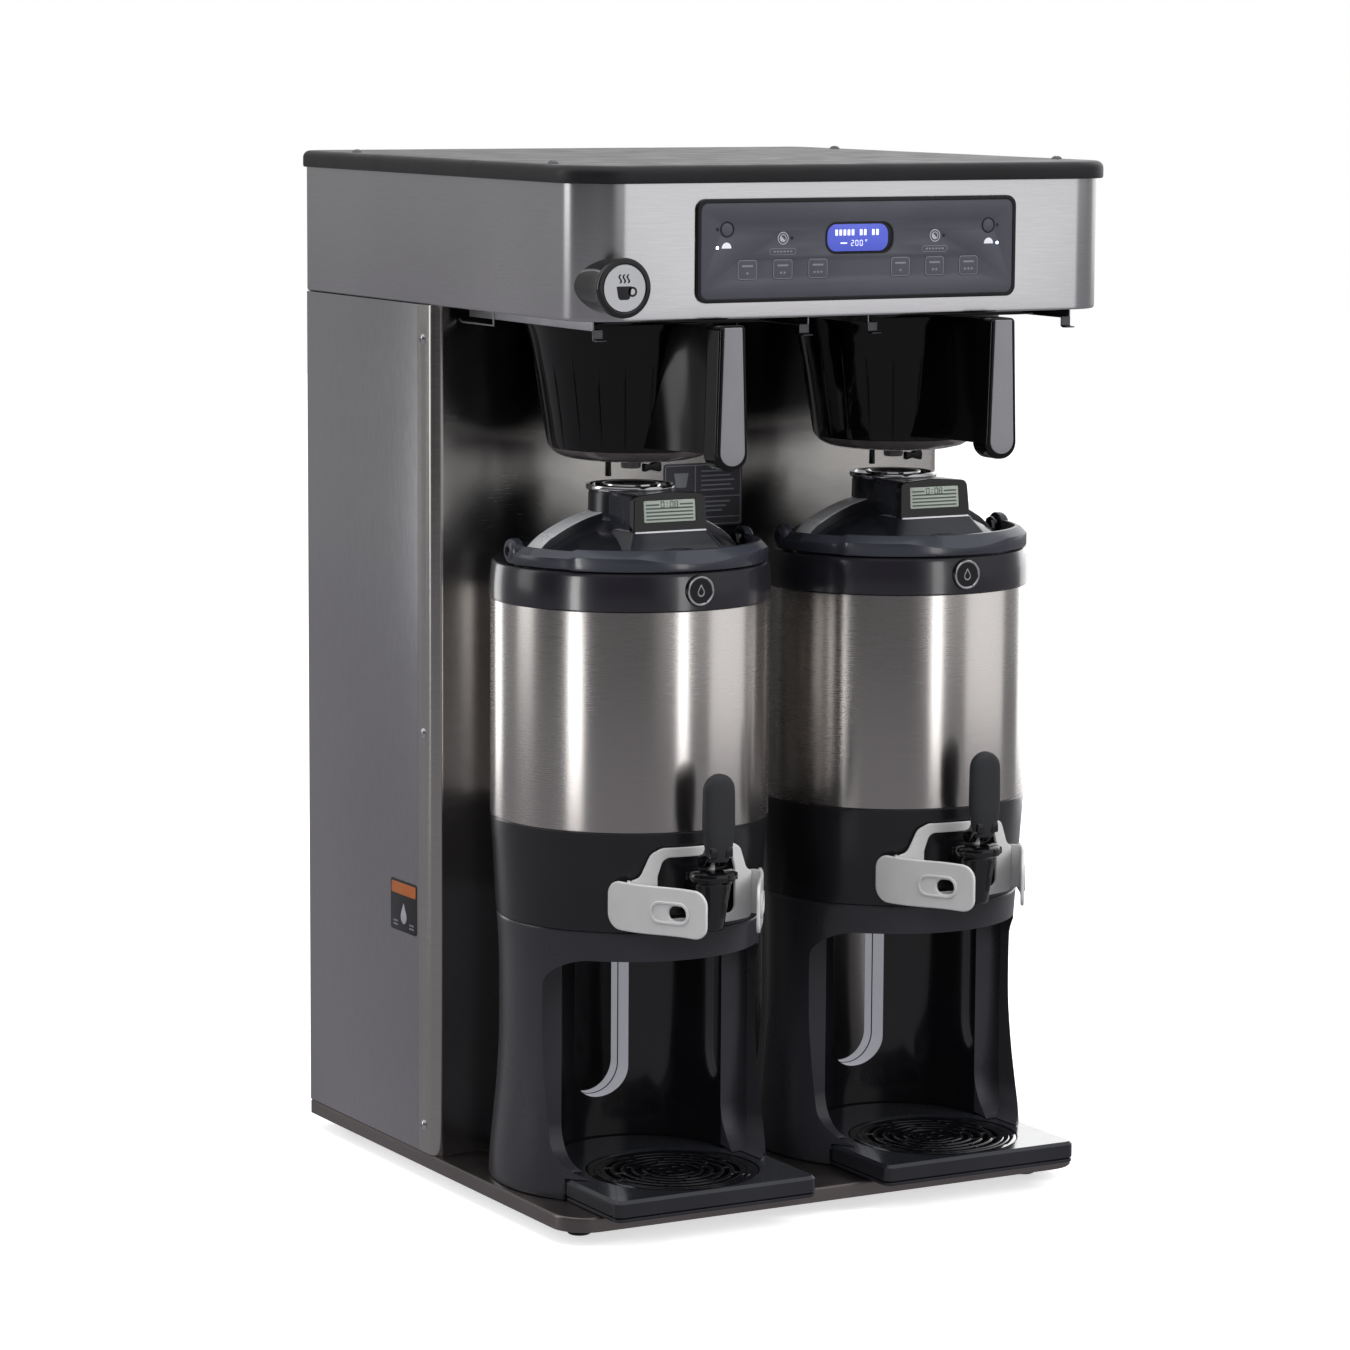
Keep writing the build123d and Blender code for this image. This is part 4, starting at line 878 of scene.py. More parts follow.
def build_keys():
    """Keys, most with printed marks that travel with them."""
    for side, sign in SIDES:
        for count, (letter, x) in enumerate(zip("abc", KEY_XS[::sign]), 1):
            body = f"{side}_brew_key_{letter}"
            x *= sign
            key_cap(body, rounded_rect(19.3, 16.8, 3.0, x, KEY_Z, 6))
            marks = [[rounded_rect(18.3, 15.8, 2.6, x, KEY_Z, 6),
                      rounded_rect(17.4, 14.9, 2.2, x, KEY_Z, 6)],
                     [rounded_rect(10.5, 1.5, 0.5, x, 819.6, 3)]]
            marks += [[circle(1.0, x + (i - (count - 1) / 2) * 3.4, 813.6, 16)]
                      for i in range(count)]
            piece(f"{body}_mark", plates(marks, *KEY_PRINT), "print_dim", body=body)
        body = f"{side}_half_batch_key"
        x = sign * HALF_KEY_X
        key_cap(body, circle(5.6, x, HALF_KEY_Z, 40))
        marks = [ring(5.2, 4.5, x, HALF_KEY_Z, 40), ring(3.2, 2.6, x, HALF_KEY_Z, 32),
                 [arc(2.7, radians(135), radians(315), 15, x, HALF_KEY_Z)]]
        piece(f"{body}_mark", plates(marks, *KEY_PRINT), "print_grey", body=body)
        key_cap(f"{side}_power_key", circle(5.4, sign * POWER_KEY_X, POWER_KEY_Z, 40), 268.4, 0.3)


def build_badge():
    """Round boss on the left front corner with a brushed disc and a steaming cup."""
    place = facing_front(-234.0, 0, 805.0)
    boss = lathe([(0, 286.4), (19.4, 286.4), (19.9, 286.9), (20.4, 287.4), (22.6, 287.5),
                  (23.9, 287.0), (24.5, 285.9), (24.5, 282.2), (24.1, 281.2), (23.4, 280.4),
                  (22.9, 276.0), (22.5, 268.0), (22.0, 225.0), (0, 225.0)], 0, 0, 96, place)
    hood = loft(plan_rings([(0.0, 770.0), (0.0, 900.0)], **HOOD_PLAN))
    disc = lathe([(0, 286.9), (19.0, 286.9), (19.2, 286.6), (19.2, 286.0), (0, 286.0)],
                 0, 0, 80, place)
    cup = rounded_polygon([(-7.5, 1.5, 0.8), (6.5, 1.5, 0.8), (4.6, -9.5, 3.0),
                           (-5.6, -9.5, 3.0)], 5)
    shapes = [[cup], ring(4.2, 2.5, 7.2, -3.0, 28)]
    for x in (-4.2, -0.5, 3.2):
        wave = [(x + 0.9 * sin(k / 6 * 2.2), 4.0 + 2.4 * (k / 6)) for k in range(19)]
        shapes.append([[(wx - 0.75, y) for wx, y in wave]
                       + [(wx + 0.75, y) for wx, y in wave[::-1]]])
    piece("badge_boss", boolean(boss, [hood]), "gloss_black", "corner_badge")
    piece("badge_disc", disc, "badge_disc")
    piece("badge_mark", plates(shapes, 286.8, 287.2, 0.1, 1, place), "mark_dark")


# ------------------------------------------------------------------ funnel station
RAIL_X = 103.4                            # rail web from the station axis
RAIL_DEPTH = 9.5
# funnel wall: (z, radius)
CONE = ((649.5, 50), (653.5, 63), (662, 70.5), (682, 74), (718, 80), (750, 86.5), (765, 91.5))


def build_rails():
    """Angle strips the funnels slide on, with hooked front tabs and bent wires behind."""
    rails, tabs = [], []
    section = ((0, 788.8), (0, 767.2), (-RAIL_DEPTH, 767.2), (-RAIL_DEPTH, 768.4),
               (-1.2, 768.4), (-1.2, 788.8))
    tab = rounded_polygon([(-236.2, 768.4, 1.0), (-236.2, 760.0, 1.5), (-243.0, 760.0, 0.5),
                           (-243.0, 758.9, 0.5), (-237.4, 758.9, 2.4), (-235.0, 760.2, 1.5),
                           (-235.0, 768.4, 0.4)], 4)
    for centre in (-STATION_X, STATION_X):
        for side in (-1, 1):
            web = centre + side * RAIL_X
            outline = rounded_polygon([(web + side * x, z, 0.5) for x, z in section], 3)
            rails.append(front_plate([outline], 14, 236, 0.25, 1))
            x0, x1 = sorted((web - side * RAIL_DEPTH, web))
            tabs.append(plate([tab], x0, x1, 0.25, 1, facing_side()))
            x0, x1 = sorted((web - side * 1.2, web + side * 9))
            rails.append(box((x0, -230, 787.6), (x1, -20, 788.8), 0.3))
            wire = [(web, -60, 786), (web, -60, 762), (web, -2, 762), (web, 4, 764)]
            rails.append(tube(wire, radius=1.1, steps=4))
    piece("rail_strips", join(*rails), "rail_steel", "funnel_rails")
    piece("rail_tabs", join(*tabs), "inner_steel")


def cone_radius(z):
    for (z0, r0), (z1, r1) in zip(CONE, CONE[1:]):
        if z <= z1:
            return r0 + (r1 - r0) * (z - z0) / (z1 - z0)
    return CONE[-1][1]


def funnel_part(name, mesh, material="funnel_black", **options):
    pair(name, mesh, material, "funnel", "funnel_black", **options)


def build_funnel_cone():
    outer = smooth_curve([(70.3, 660.6), (72.0, 668), (74, 682), (77, 700), (80, 718),
                          (83.2, 734), (86.5, 750), (91.0, 764.5)], 3)
    profile = [(66.5, 659.8), (69.4, 659.8), (70.1, 660.1)] + outer
    profile += [(91.3, 766.0), (91.5, 769.0), (91.5, 774.0), (88.5, 774.0), (88.5, 765),
                (83.5, 750), (77, 718), (71, 682), (67.3, 664)]
    rim = rounded_rect(203.2, 186, 34, steps=14)
    flange = plate([rim, circle(90.0, count=144)], 769.0, 773.0, 1.0, 3)
    lip = plate([rim, rounded_rect(197.2, 180, 31, steps=14)], 771.5, 775.5, 0.8, 3)
    funnel_part("funnel_cone", lathe(profile, segments=144), replaces="funnel", angle=28)
    funnel_part("funnel_flange", join(flange, lip))


def build_funnel_ribs():
    """Slim ribs up the cone in two lengths, left out behind the grip."""
    count, steps, bottom, half = 22, 12, 661.5, 0.75
    ribs = []
    for k in range(count):
        a = 2 * pi * (k + 0.5) / count
        if abs((degrees(a) - 270 + 180) % 360 - 180) < 13:
            continue
        out, across = Vector((cos(a), sin(a), 0)), Vector((-sin(a), cos(a), 0))
        top = 733 if k % 2 else 741
        rings = []
        for j in range(steps + 1):
            z = bottom + (top - bottom) * j / steps
            h = min(1.0, (steps - j) / 3.0 + 0.05)
            c = out * cone_radius(z) + Vector((0, 0, z))
            rings.append([c - across * half - out * 0.8, c - across * half + out * h * 0.45,
                          c - across * half * 0.4 + out * h, c + across * half * 0.4 + out * h,
                          c + across * half + out * h * 0.45, c + across * half - out * 0.8])
        ribs.append(loft(rings))
    funnel_part("funnel_ribs", join(*ribs), angle=40)


def build_funnel_dish():
    """Smoky dish with the outlet under the cone, and small black feet below it."""
    dish = [(5.0, 641.0), (7.6, 641.0), (8.4, 641.6), (8.7, 646.0), (10.5, 648.4), (16, 649.2),
            (34, 649.4), (50, 650.0), (60.5, 652.4), (67.0, 656.2), (69.6, 659.7),
            (66.4, 659.7), (60.5, 656.5), (48, 653), (10, 652.2), (5.0, 652.2)]
    peg = [(0, 634.8), (2.3, 634.8), (2.8, 635.4), (2.6, 640), (2.4, 646), (3.2, 650.4),
           (0, 650.4)]
    bow = rounded_polygon([(12, 636.8, 1), (12, 644.5, 1), (17.5, 643.2, 0.6),
                           (27.5, 646.8, 1.0), (29.0, 643, 1), (29.0, 636.2, 2),
                           (18.5, 638.6, 0.6)], 3)
    feet = join(lathe(peg, -22, 0, 24), front_plate([bow], -2.6, 2.6, 0.6),
                box((20, -1.8, 643), (26, 1.8, 650.6), 0.4))
    funnel_part("funnel_dish", lathe(dish), "funnel_smoky", angle=30)
    funnel_part("funnel_feet", feet)


def build_funnel_grip():
    """Tapered bar with a pale insert in its front, and a gusset sweeping out to it."""
    grip = rounded_polygon([(-12.5, 772, 4), (12.5, 772, 4), (16.0, 652, 14.5),
                            (-16.0, 652, 14.5)], 12)
    pocket = rounded_polygon([(-8.7, 774), (8.7, 774), (12.3, 656.2, 11.4),
                              (-12.3, 656.2, 11.4)], 12)
    insert = rounded_polygon([(-8.4, 770.5, 1), (8.4, 770.5, 1), (12.0, 656.6, 11.2),
                              (-12.0, 656.6, 11.2)], 12)
    mesh = boolean(front_plate([grip], 149, 173, 3.6, 5), [front_plate([pocket], 172.0, 176)])
    funnel_part("funnel_grip", mesh, angle=30, even=True)
    funnel_part("funnel_insert", front_plate([insert], 171.6, 173.1, 0.5, 3), "insert_grey",
                angle=30)
    far, narrow = -151.0, 6.0             # gusset's front end and half width there
    rings = []
    for j in range(11):
        z = 664 + (770 - 664) * j / 10
        wide = 27 - 15 * (j / 10) ** 0.8
        near = -(sqrt(max(cone_radius(z) ** 2 - wide * wide, 1)) - 2.5)
        left = [(-(narrow + (wide - narrow) * (i / 10) ** 2.3), far + (near - far) * (i / 10), z)
                for i in range(11)]
        rings.append(left + [(-x, y, z) for x, y, z in left[::-1]])
    funnel_part("funnel_gusset", loft(rings), angle=30)


# ------------------------------------------------------------------------- server
CAVE_Y, CAVE_RADIUS = -26, 79             # round cave inside the stand
SLOT_Z, SLOT_WIDTH, SLOT_HEIGHT, SLOT_RADIUS = 158, 54, 156, 26.6
GRATE_Y = -80
FAUCET_Y, FAUCET_Z = -143.0, 297
EMBLEM_Z = 548
POST_X, PIN_Z = 103.0, 575                # handle posts and pivot height
# drop outline on the collar emblem
EMBLEM_DROP = ((0, 5.6), (1.5, 2.9), (2.9, 0.5), (3.5, -1.4), (3.0, -3.3), (1.7, -4.6),
               (0, -5.1), (-1.7, -4.6), (-3.0, -3.3), (-3.5, -1.4), (-2.9, 0.5), (-1.5, 2.9))


def stand_material(face):
    """0 outside, 1 inside the cave and tray slot, 2 on the wall of the rear hand slot, whose
    paler, glowing material is painted light.
    """
    c = face.center * 1000
    from_cave = hypot(c.x, c.y - CAVE_Y)
    if from_cave < CAVE_RADIUS + 0.9 and 27 < c.z < 238.5 and c.y > -27:
        return 1
    if c.z < 43 and abs(c.x) < 100 and c.y < 40:
        return 1
    dz = max(0.0, abs(c.z - SLOT_Z) - (SLOT_HEIGHT / 2 - SLOT_RADIUS))
    if c.y > 40 and abs(hypot(max(0.0, abs(c.x) - 0.4), dz) - SLOT_RADIUS) < 0.9:
        return 2
    return 0


def build_stand():
    """Waisted drum with an arched front opening, a round cave and a rear hand slot."""
    wall = smooth_curve([(121, 27.4), (120.6, 40), (119.2, 58), (117, 80), (115, 100),
                         (113.6, 120), (112.5, 140), (112, 160), (111.9, 185), (112.1, 210),
                         (112.8, 235), (114.2, 254.5)], 2)
    drum = lathe([(0, 25.4), (119.8, 25.4), (120.7, 26.2)] + wall
                 + [(114.3, 256.6), (113.9, 257.6), (112.9, 257.9), (0, 257.9)], segments=168)
    arch = front_plate([rounded_polygon([(-105, 43.0, 31), (105, 43.0, 31), (105, 233, 25),
                                         (-105, 233, 25)], 12)], 0, 150)
    ramp = plate([rounded_polygon([(-25, 240), (-25, 43.0, 40), (-155, 43.0), (-155, 240)], 12)],
                 -110, 110, place=facing_side())
    opening = boolean(arch, [ramp], "INTERSECT")
    tray_slot = plate([rounded_polygon([(-98.7, -170), (98.7, -170), (98.7, -24, 1),
                                        (-98.7, -24, 1)], 3)], 24, 44.6)
    relief = rod(75.5, 43.2, 90, 112, 0, GRATE_Y)
    cave = lathe([(0, 27.2), (CAVE_RADIUS, 27.2), (CAVE_RADIUS, 236.5), (77.6, 238), (0, 238)],
                 0, CAVE_Y, 144)
    recess = front_plate([rounded_rect(104, 180, 20, 0, 145)], -140, -80)
    slot = front_plate([rounded_rect(SLOT_WIDTH, SLOT_HEIGHT, SLOT_RADIUS, 0, SLOT_Z, 14)],
                       -130, -30)
    mesh = drum
    for cutters in ([opening, tray_slot], [relief], [cave], [recess, slot]):
        mesh = boolean(mesh, cutters)
    pair("stand_shell", bevel(mesh, 1.1, 3, 38), "stand_black stand_inner slot_wall", "server",
         "stand_black", "stand", 30, stand_material, even=True)
    rim = [rounded_rect(SLOT_WIDTH + 0.6, SLOT_HEIGHT + 0.6, 26.9, 0, SLOT_Z, 14),
           rounded_rect(SLOT_WIDTH - 1.0, SLOT_HEIGHT - 1.0, 26.1, 0, SLOT_Z, 14)]
    pair("stand_slot_rim", front_plate(rim, -68.2, -66.8, 0.3), "stand_black", "server",
         "stand_black")


def build_shell():
    """Skirt bored for the faucet, and the steel band with rolled ends above it."""
    skirt = [(111.8, 258.2), (114.2, 258.2), (114.9, 258.7)]
    skirt += smooth_curve([(115.0, 259.5), (115.7, 275), (116.4, 290), (117.2, 305),
                           (118.2, 320), (119.1, 333), (119.7, 342.0)], 3)
    skirt += [(119.7, 343.2), (119.2, 343.8), (116.6, 343.8), (113.2, 290)]
    bore = rod(11.4, 90, 130, 40, place=facing_front(z=FAUCET_Z))
    pair("skirt_ring", boolean(lathe(skirt, segments=160), [bore]), "skirt_black", "server",
         "skirt_black", "skirt", 30, even=True)
    band = [(118.4, 344.2), (119.2, 344.1), (119.8, 344.5), (120.0, 345.4), (120.0, 437),
            (120.0, 529.6), (119.8, 530.5), (119.2, 530.9), (118.4, 530.8)]
    pair("shell_band", lathe(band, segments=192), "server_steel", "server", "server_steel",
         "shell", 40)


def build_collar():
    """Collar ring, the two handle posts with pins, and the round front emblem."""
    profile = [(117.6, 531.2), (120.4, 531.2), (121.0, 531.8)]
    profile += smooth_curve([(121.0, 533), (120.9, 541), (120.5, 549), (119.7, 557),
                             (119.2, 560.5)], 3)
    profile += [(118.7, 562.0), (117.5, 562.9), (115.6, 563.0), (66, 563.0), (66, 559.4),
                (114.0, 559.4), (116.6, 545)]
    pair("collar_ring", lathe(profile, segments=160), "collar_black", "server", "gloss_black",
         "collar", 30)
    post = rounded_polygon([(-9, 562.5), (9, 562.5), (8, 575), (6.5, 580, 2), (0, 583, 6),
                            (-6.5, 580, 2), (-8, 575)], 5)
    pin = [(0, 0), (4.0, 0), (4.0, 13.0), (3.4, 13.5), (0, 13.5)]
    posts = []
    for side in (-1, 1):
        posts.append(plate([post], 0, 4.6, 0.6, 2, facing_side(side, POST_X)))
        posts.append(lathe(pin, 0, 0, 28, facing_side(side, POST_X, 0, PIN_Z)))
    pair("collar_posts", join(*posts), "gloss_black", "server", "gloss_black")
    place = facing_front(z=EMBLEM_Z)
    boss = lathe([(0, 112), (13.6, 112), (13.6, 121.0), (13.3, 121.9), (12.6, 122.4),
                  (0, 122.4)], 0, 0, 56, place)
    bright = lathe([(10.7, 122.2), (12.6, 122.2), (12.6, 122.5), (12.3, 122.9), (11.7, 123.0),
                    (11.1, 122.9), (10.7, 122.5)], 0, 0, 56, place)
    small = [(x * 0.72, y * 0.72 - 0.25) for x, y in EMBLEM_DROP]
    mark = plate([EMBLEM_DROP, small], 122.3, 122.7, 0.08, 1, place)
    pair("collar_boss", boss, "gloss_black", "server", "gloss_black")
    pair("collar_mark", join(bright, mark), "chrome", "server", "gloss_black")


def build_bail():
    """Carry handle: a half band round the front with a thumb scoop, slimmer arms and lugs."""
    rings = []
    for j in range(121):
        angle = -90 + 180 * j / 120       # 0 is the front
        heading = radians(angle - 90)
        dx, dy = cos(heading), sin(heading)
        turn = abs(angle)
        arm = min(1.0, max(0.0, (turn - 53.0) / 1.6))      # 0 on the band, 1 on the arms
        scoop = cos(radians(turn * 90 / 27.0)) ** 1.2 if turn < 27 else 0.0
        outer, inner = 119.0 - 1.1 * arm, 108.4 + 0.5 * arm
        low, high = 564.2 + 0.7 * arm, 581.8 - 1.7 * arm
        chamfer = high - 6.0 - 5.2 * scoop
        top = outer - 6.0
        section = [(inner + 0.6, low), (outer - 1.0, low), (outer - 0.3, low + 0.3),
                   (outer, low + 1.0), (outer, chamfer - 0.5), (outer - 0.15, chamfer),
                   (outer - 0.5, chamfer + 0.45), (top + 0.4, high - 0.55),
                   (top - 0.2, high - 0.1), (top - 0.9, high), (inner + 1.0, high),
                   (inner + 0.3, high - 0.3), (inner, high - 1.0), (inner, low + 0.6)]
        rings.append([(r * dx, r * dy, z) for r, z in section])
    lug = [(4.1, 0), (10.4, 0), (11.0, 0.6), (11.0, 5.2), (10.6, 7.0), (9.4, 8.8), (7.2, 10.0),
           (4.8, 10.5), (4.1, 10.4)]
    lugs = [lathe(lug, 0, 0, 48, facing_side(side, 108.5, 0, PIN_Z)) for side in (-1, 1)]
    # the paler second material on the front chamfer is painted light on faces that slope up
    pair("bail_band", loft(rings), "bail_grey bail_top", "bail_handle", "bail_grey",
         "bail_handle", 24,               # the second material goes on the front chamfer
         lambda face: 1 if 0.3 < face.normal.z < 0.97 and face.center.y < -0.03 else 0)
    pair("bail_lugs", join(*lugs), "bail_grey", "bail_handle", "bail_grey", angle=40)


# ---------------------------------------------------------------------- server lid
# display frame, leaning back on the lid
LEAN = Matrix.Translation((0, -70.2, 594)) @ Matrix.Rotation(radians(-5.0), 4, "X") @ FRONT
LCD_Y = 16.4                              # middle of the window in that frame


def lid_part(name, mesh, materials, **options):
    pair(name, mesh, materials, "lid", "lid_grey_black", **options)


def build_lid():
    """Dome with a central tower, an arched strap over it, and the chrome mouth."""
    profile = [(6.2, 548.2), (61.0, 548.2), (62.0, 549.2), (62.0, 563.6), (100.2, 563.6),
               (101.0, 564.2), (101.0, 566.2)]
    profile += smooth_curve([(100.4, 567.4), (96, 570.6), (86, 577.0), (72, 584.4), (58, 590.6),
                             (46, 595.4), (38.5, 599.0)], 3)
    profile += [(37.0, 601.5), (36.5, 604.0), (36.3, 620.5), (35.2, 622.6), (34.2, 623.0),
                (33.0, 621.0), (31.0, 612.0), (20.0, 606.0), (8.0, 604.0), (6.2, 603.0)]
    lid_part("lid_dome", lathe(profile, segments=144), "lid_grey_black", replaces="lid",
             angle=30)
    strap = smooth_curve([(-98.5, 571.5), (-88, 582.2), (-76, 590.0), (-62, 596.8),
                          (-48, 602.0), (-34, 605.6)], 4)
    strap += [(-34, 590), (-60, 580), (-98.5, 566.5)]
    mirrored = [(-x, z) for x, z in strap[::-1]]
    # faces pointing up get the pale strap material: painted light on the strap's top
    lid_part("lid_strap", plates([[strap], [mirrored]], -12.5, 12.5, 1.6, 4),
             "strap_grey strap_top", angle=30, pick=lambda face: 1 if face.normal.z > 0.6 else 0)
    mouth = lathe([(33.4, 621.8), (36.2, 622.6), (38.0, 623.4), (38.6, 624.6), (38.6, 626.2),
                   (38.0, 627.4), (36.8, 627.9), (35.4, 627.5), (34.6, 626.4), (34.2, 624.6)],
                  segments=112)
    inner = lathe([(14.5, 611), (16.0, 611), (21.0, 624.0), (24.6, 627.2), (24.2, 628.4),
                   (22.8, 628.4), (19.4, 625.4)], segments=96)
    lid_part("lid_mouth", join(mouth, inner), "chrome", angle=40)


def ledge_material(face):
    """1 on the top face and on its front edge, where the pale strap material paints a highlight.
    """
    front_edge = face.normal.z > 0.4 and face.center.z > 0.5931 and face.center.y < -0.0705
    return 1 if face.normal.z > 0.9 or front_edge else 0


def build_lid_display():
    """Bezel, the body behind it, the ledge under it, then the glass and its ink."""
    bezel = plate([rounded_polygon([(-36.0, -1.5, 1.5), (36.0, -1.5, 1.5), (34.2, 30.4, 6.0),
                                    (0, 32.8, 60), (-34.2, 30.4, 6.0)], 8)],
                  -8, 0, 1.2, 4, LEAN)
    window = plate([rounded_rect(50.5, 18.9, 1.4, 0, LCD_Y, 4)], -1.2, 2, place=LEAN)
    lid_part("lid_display_bezel", boolean(bezel, [window]), "gloss_black", angle=30, even=True)
    rings = []
    for j in range(9):
        t = j / 8
        w, foot, top = 33.2 - 2.2 * t, 1.6 * (1 - t), 624.6 - 0.6 * t
        section = rounded_polygon([(-w - foot, 584 + 4 * t), (w + foot, 584 + 4 * t),
                                   (w, top, 5.5), (-w, top, 5.5)], 6)
        rings.append([(x, -64.8 + 50 * t, z) for x, z in section])
    lid_part("lid_display_body", loft(rings), "bail_grey", angle=30)
    ledge = ((570.0, 50, -86.5), (576.0, 47, -83.5), (583.0, 42.5, -78.5), (589.0, 38.5, -74.0),
             (592.6, 36.6, -71.8), (593.8, 35.6, -70.9))   # (z, half width, front y)
    rings = []
    for z, half, front in ledge:
        section = rounded_polygon([(-half, front, 5), (half, front, 5), (half + 3, -40),
                                   (-half - 3, -40)], 5)
        rings.append([(x, y, z) for x, y in section])
    # the ledge's top and front edge are painted with a highlight through ledge_material
    lid_part("lid_ledge", loft(rings), "strap_grey strap_top", angle=40, pick=ledge_material)
    glass = plate([rounded_rect(50.0, 18.4, 1.2, 0, LCD_Y, 4)], -1.1, -0.7, 0.05, 1, LEAN)
    lid_part("lid_lcd", glass, "lcd_pale")
    shapes = [[rounded_rect(45.5, 1.35, 0.3, 0, 9.6 + 3.05 * k, 2)] for k in range(4)]
    shapes += [[rounded_rect(12.6, 1.35, 0.3, side * 16.4, 9.6 + 3.05 * 4, 2)]
               for side in (-1, 1)]
    shapes += digit_shapes("0:08", -6.6, 21.9, pitch=4.4, stretch=(1.15, 1.1), bar=(2.3, 0.8))
    lid_part("lid_lcd_ink", plates(shapes, -0.75, -0.55, place=LEAN), "lcd_ink")


# ------------------------------------------------------------------------- faucet
def build_faucet():
    """Barrel with a lugged cap, the shank with its winged nut, and the seal inside."""
    profile = [(7.0, 264.0), (9.6, 264.0), (10.4, 264.6), (10.9, 266.0)]
    profile += smooth_curve([(11.4, 268), (12.6, 277), (13.9, 286), (15.3, 295),
                             (16.6, 302.6)], 3)
    profile += [(17.6, 304.6), (18.6, 305.4), (20.4, 306.6), (21.2, 308.6), (21.2, 311.0),
                (20.5, 313.2), (18.4, 314.6), (14, 315.4), (3.4, 315.5), (3.4, 309), (11, 308),
                (11, 277), (7, 276)]
    parts = [lathe(profile, 0, FAUCET_Y, 72)]
    for k in range(8):
        a = radians(45 * k + 22.5)
        lug = box((-1.6, -3.3, -3.0), (1.0, 3.3, 3.0), 0.7)
        centre = Vector((21.0 * cos(a), FAUCET_Y + 21.0 * sin(a), 309.9))
        lug.transform(Matrix.Translation(centre) @ Matrix.Rotation(a, 4, "Z"))
        parts.append(lug)
    shank = lathe([(6, 97.5), (10.8, 97.5), (10.8, 106.5), (13.8, 107.0), (14.4, 107.8),
                   (14.4, 113.4), (13.8, 114.2), (11.0, 114.6), (10.6, 116), (10.6, 131.0),
                   (6, 131.0)], 0, 0, 48, facing_front(z=FAUCET_Z))
    wings = rounded_polygon([(-21, 292.0, 3), (-12, 290.0, 2), (12, 290.0, 2), (21, 292.0, 3),
                             (21, 302.0, 3), (12, 304.0, 2), (-12, 304.0, 2),
                             (-21, 302.0, 3)], 4)
    seal = lathe([(0, 276.3), (7.8, 276.3), (10.0, 279), (10.2, 281.5), (10.0, 284), (4, 288),
                  (3.0, 292), (3.0, 321.6), (0, 321.6)], 0, FAUCET_Y, 40)
    pair("faucet_barrel", join(*parts), "gloss_black", "server", "gloss_black", "faucet_body",
         34)
    pair("faucet_shank", join(shank, front_plate([wings], 108.5, 114.0, 1.6, 3)), "gloss_black",
         "server", "gloss_black", angle=34)
    pair("faucet_seal", seal, "silicone", "faucet_stem", "silicone", "faucet_stem")


def build_lever():
    """Crowned paddle that ends in a half round, and the fork over the stem."""
    stations = [(323.5, 9.0, 3.6), (327, 10.2, 4.6), (332, 11.6, 5.4), (338, 13.0, 6.0),
                (346, 14.4, 6.2), (354, 14.9, 6.1), (364, 14.9, 5.9), (374, 14.8, 5.7),
                (383.5, 14.7, 5.5)]       # (z, half width, half thickness)
    for a in map(radians, (14, 28, 42, 54, 65, 74, 82)):
        stations.append((383.5 + 14.4 * sin(a), 14.7 * cos(a), 1.2 + 4.3 * cos(a) ** 0.6))
    stations.append((397.95, 0.8, 1.0))
    rings = []
    for z, half, thick in stations:
        section = []
        for k in range(28):
            u = 2 * pi * k / 28
            x = copysign(half * abs(cos(u)) ** 0.62, cos(u))
            y = copysign(thick * abs(sin(u)) ** 0.70, sin(u))
            if y < 0:                     # crown on the front face
                y -= 0.9 * (1 - (x / half) ** 2)
            section.append((x, FAUCET_Y - 11.5 + y, z))
        rings.append(section)
    pair("lever_paddle", loft(rings), "lever_grey", "faucet_handle", "lever_grey",
         "faucet_handle", 50)
    prong = rounded_polygon([(-18.5, 328, 2), (-18.0, 337, 3), (-8, 338, 3), (-3.0, 330, 4),
                             (5.8, 326.5, 3), (5.6, 317.2, 4), (-4.0, 317.2, 4),
                             (-12, 325.5, 3)], 5)
    parts = []
    for x in (-7.3, 7.3):
        mesh = plate([prong], x - 3.2, x + 3.2, 0.9, 3, facing_side())
        mesh.transform(Matrix.Translation((0, FAUCET_Y, 0)))
        parts.append(mesh)
    parts.append(rod(2.2, -12.2, 12.2, 20, place=facing_side(1, 0, FAUCET_Y, 322)))
    pair("lever_fork", join(*parts), "gloss_black", "faucet_handle", "lever_grey", angle=34)


def build_guard_back():
    """Windowed plate bent round the server behind the faucet."""
    outline = rounded_polygon([(-62, 264, 6), (62, 264, 6), (62, 304, 5), (53, 307, 9),
                               (44, 327, 9), (34, 332, 7), (-34, 332, 7), (-44, 327, 9),
                               (-53, 307, 9), (-62, 304, 5)], 6)
    window = rounded_polygon([(-38, 271.5, 6), (38, 271.5, 6), (38, 308, 8), (33, 323.8, 8),
                              (-33, 323.8, 8), (-38, 308, 8)], 6)
    radius = 123.0

    def wrap(x, z, depth):
        a = x / radius
        return (radius + depth) * sin(a), -(radius + depth) * cos(a), z

    mesh = bent(plate([outline, window], -1.3, 1.3, 0.7, 3), 1.5, 42, wrap)
    pair("guard_back", mesh, "guard_white", "server", "guard_white", "faucet_guard", 40)


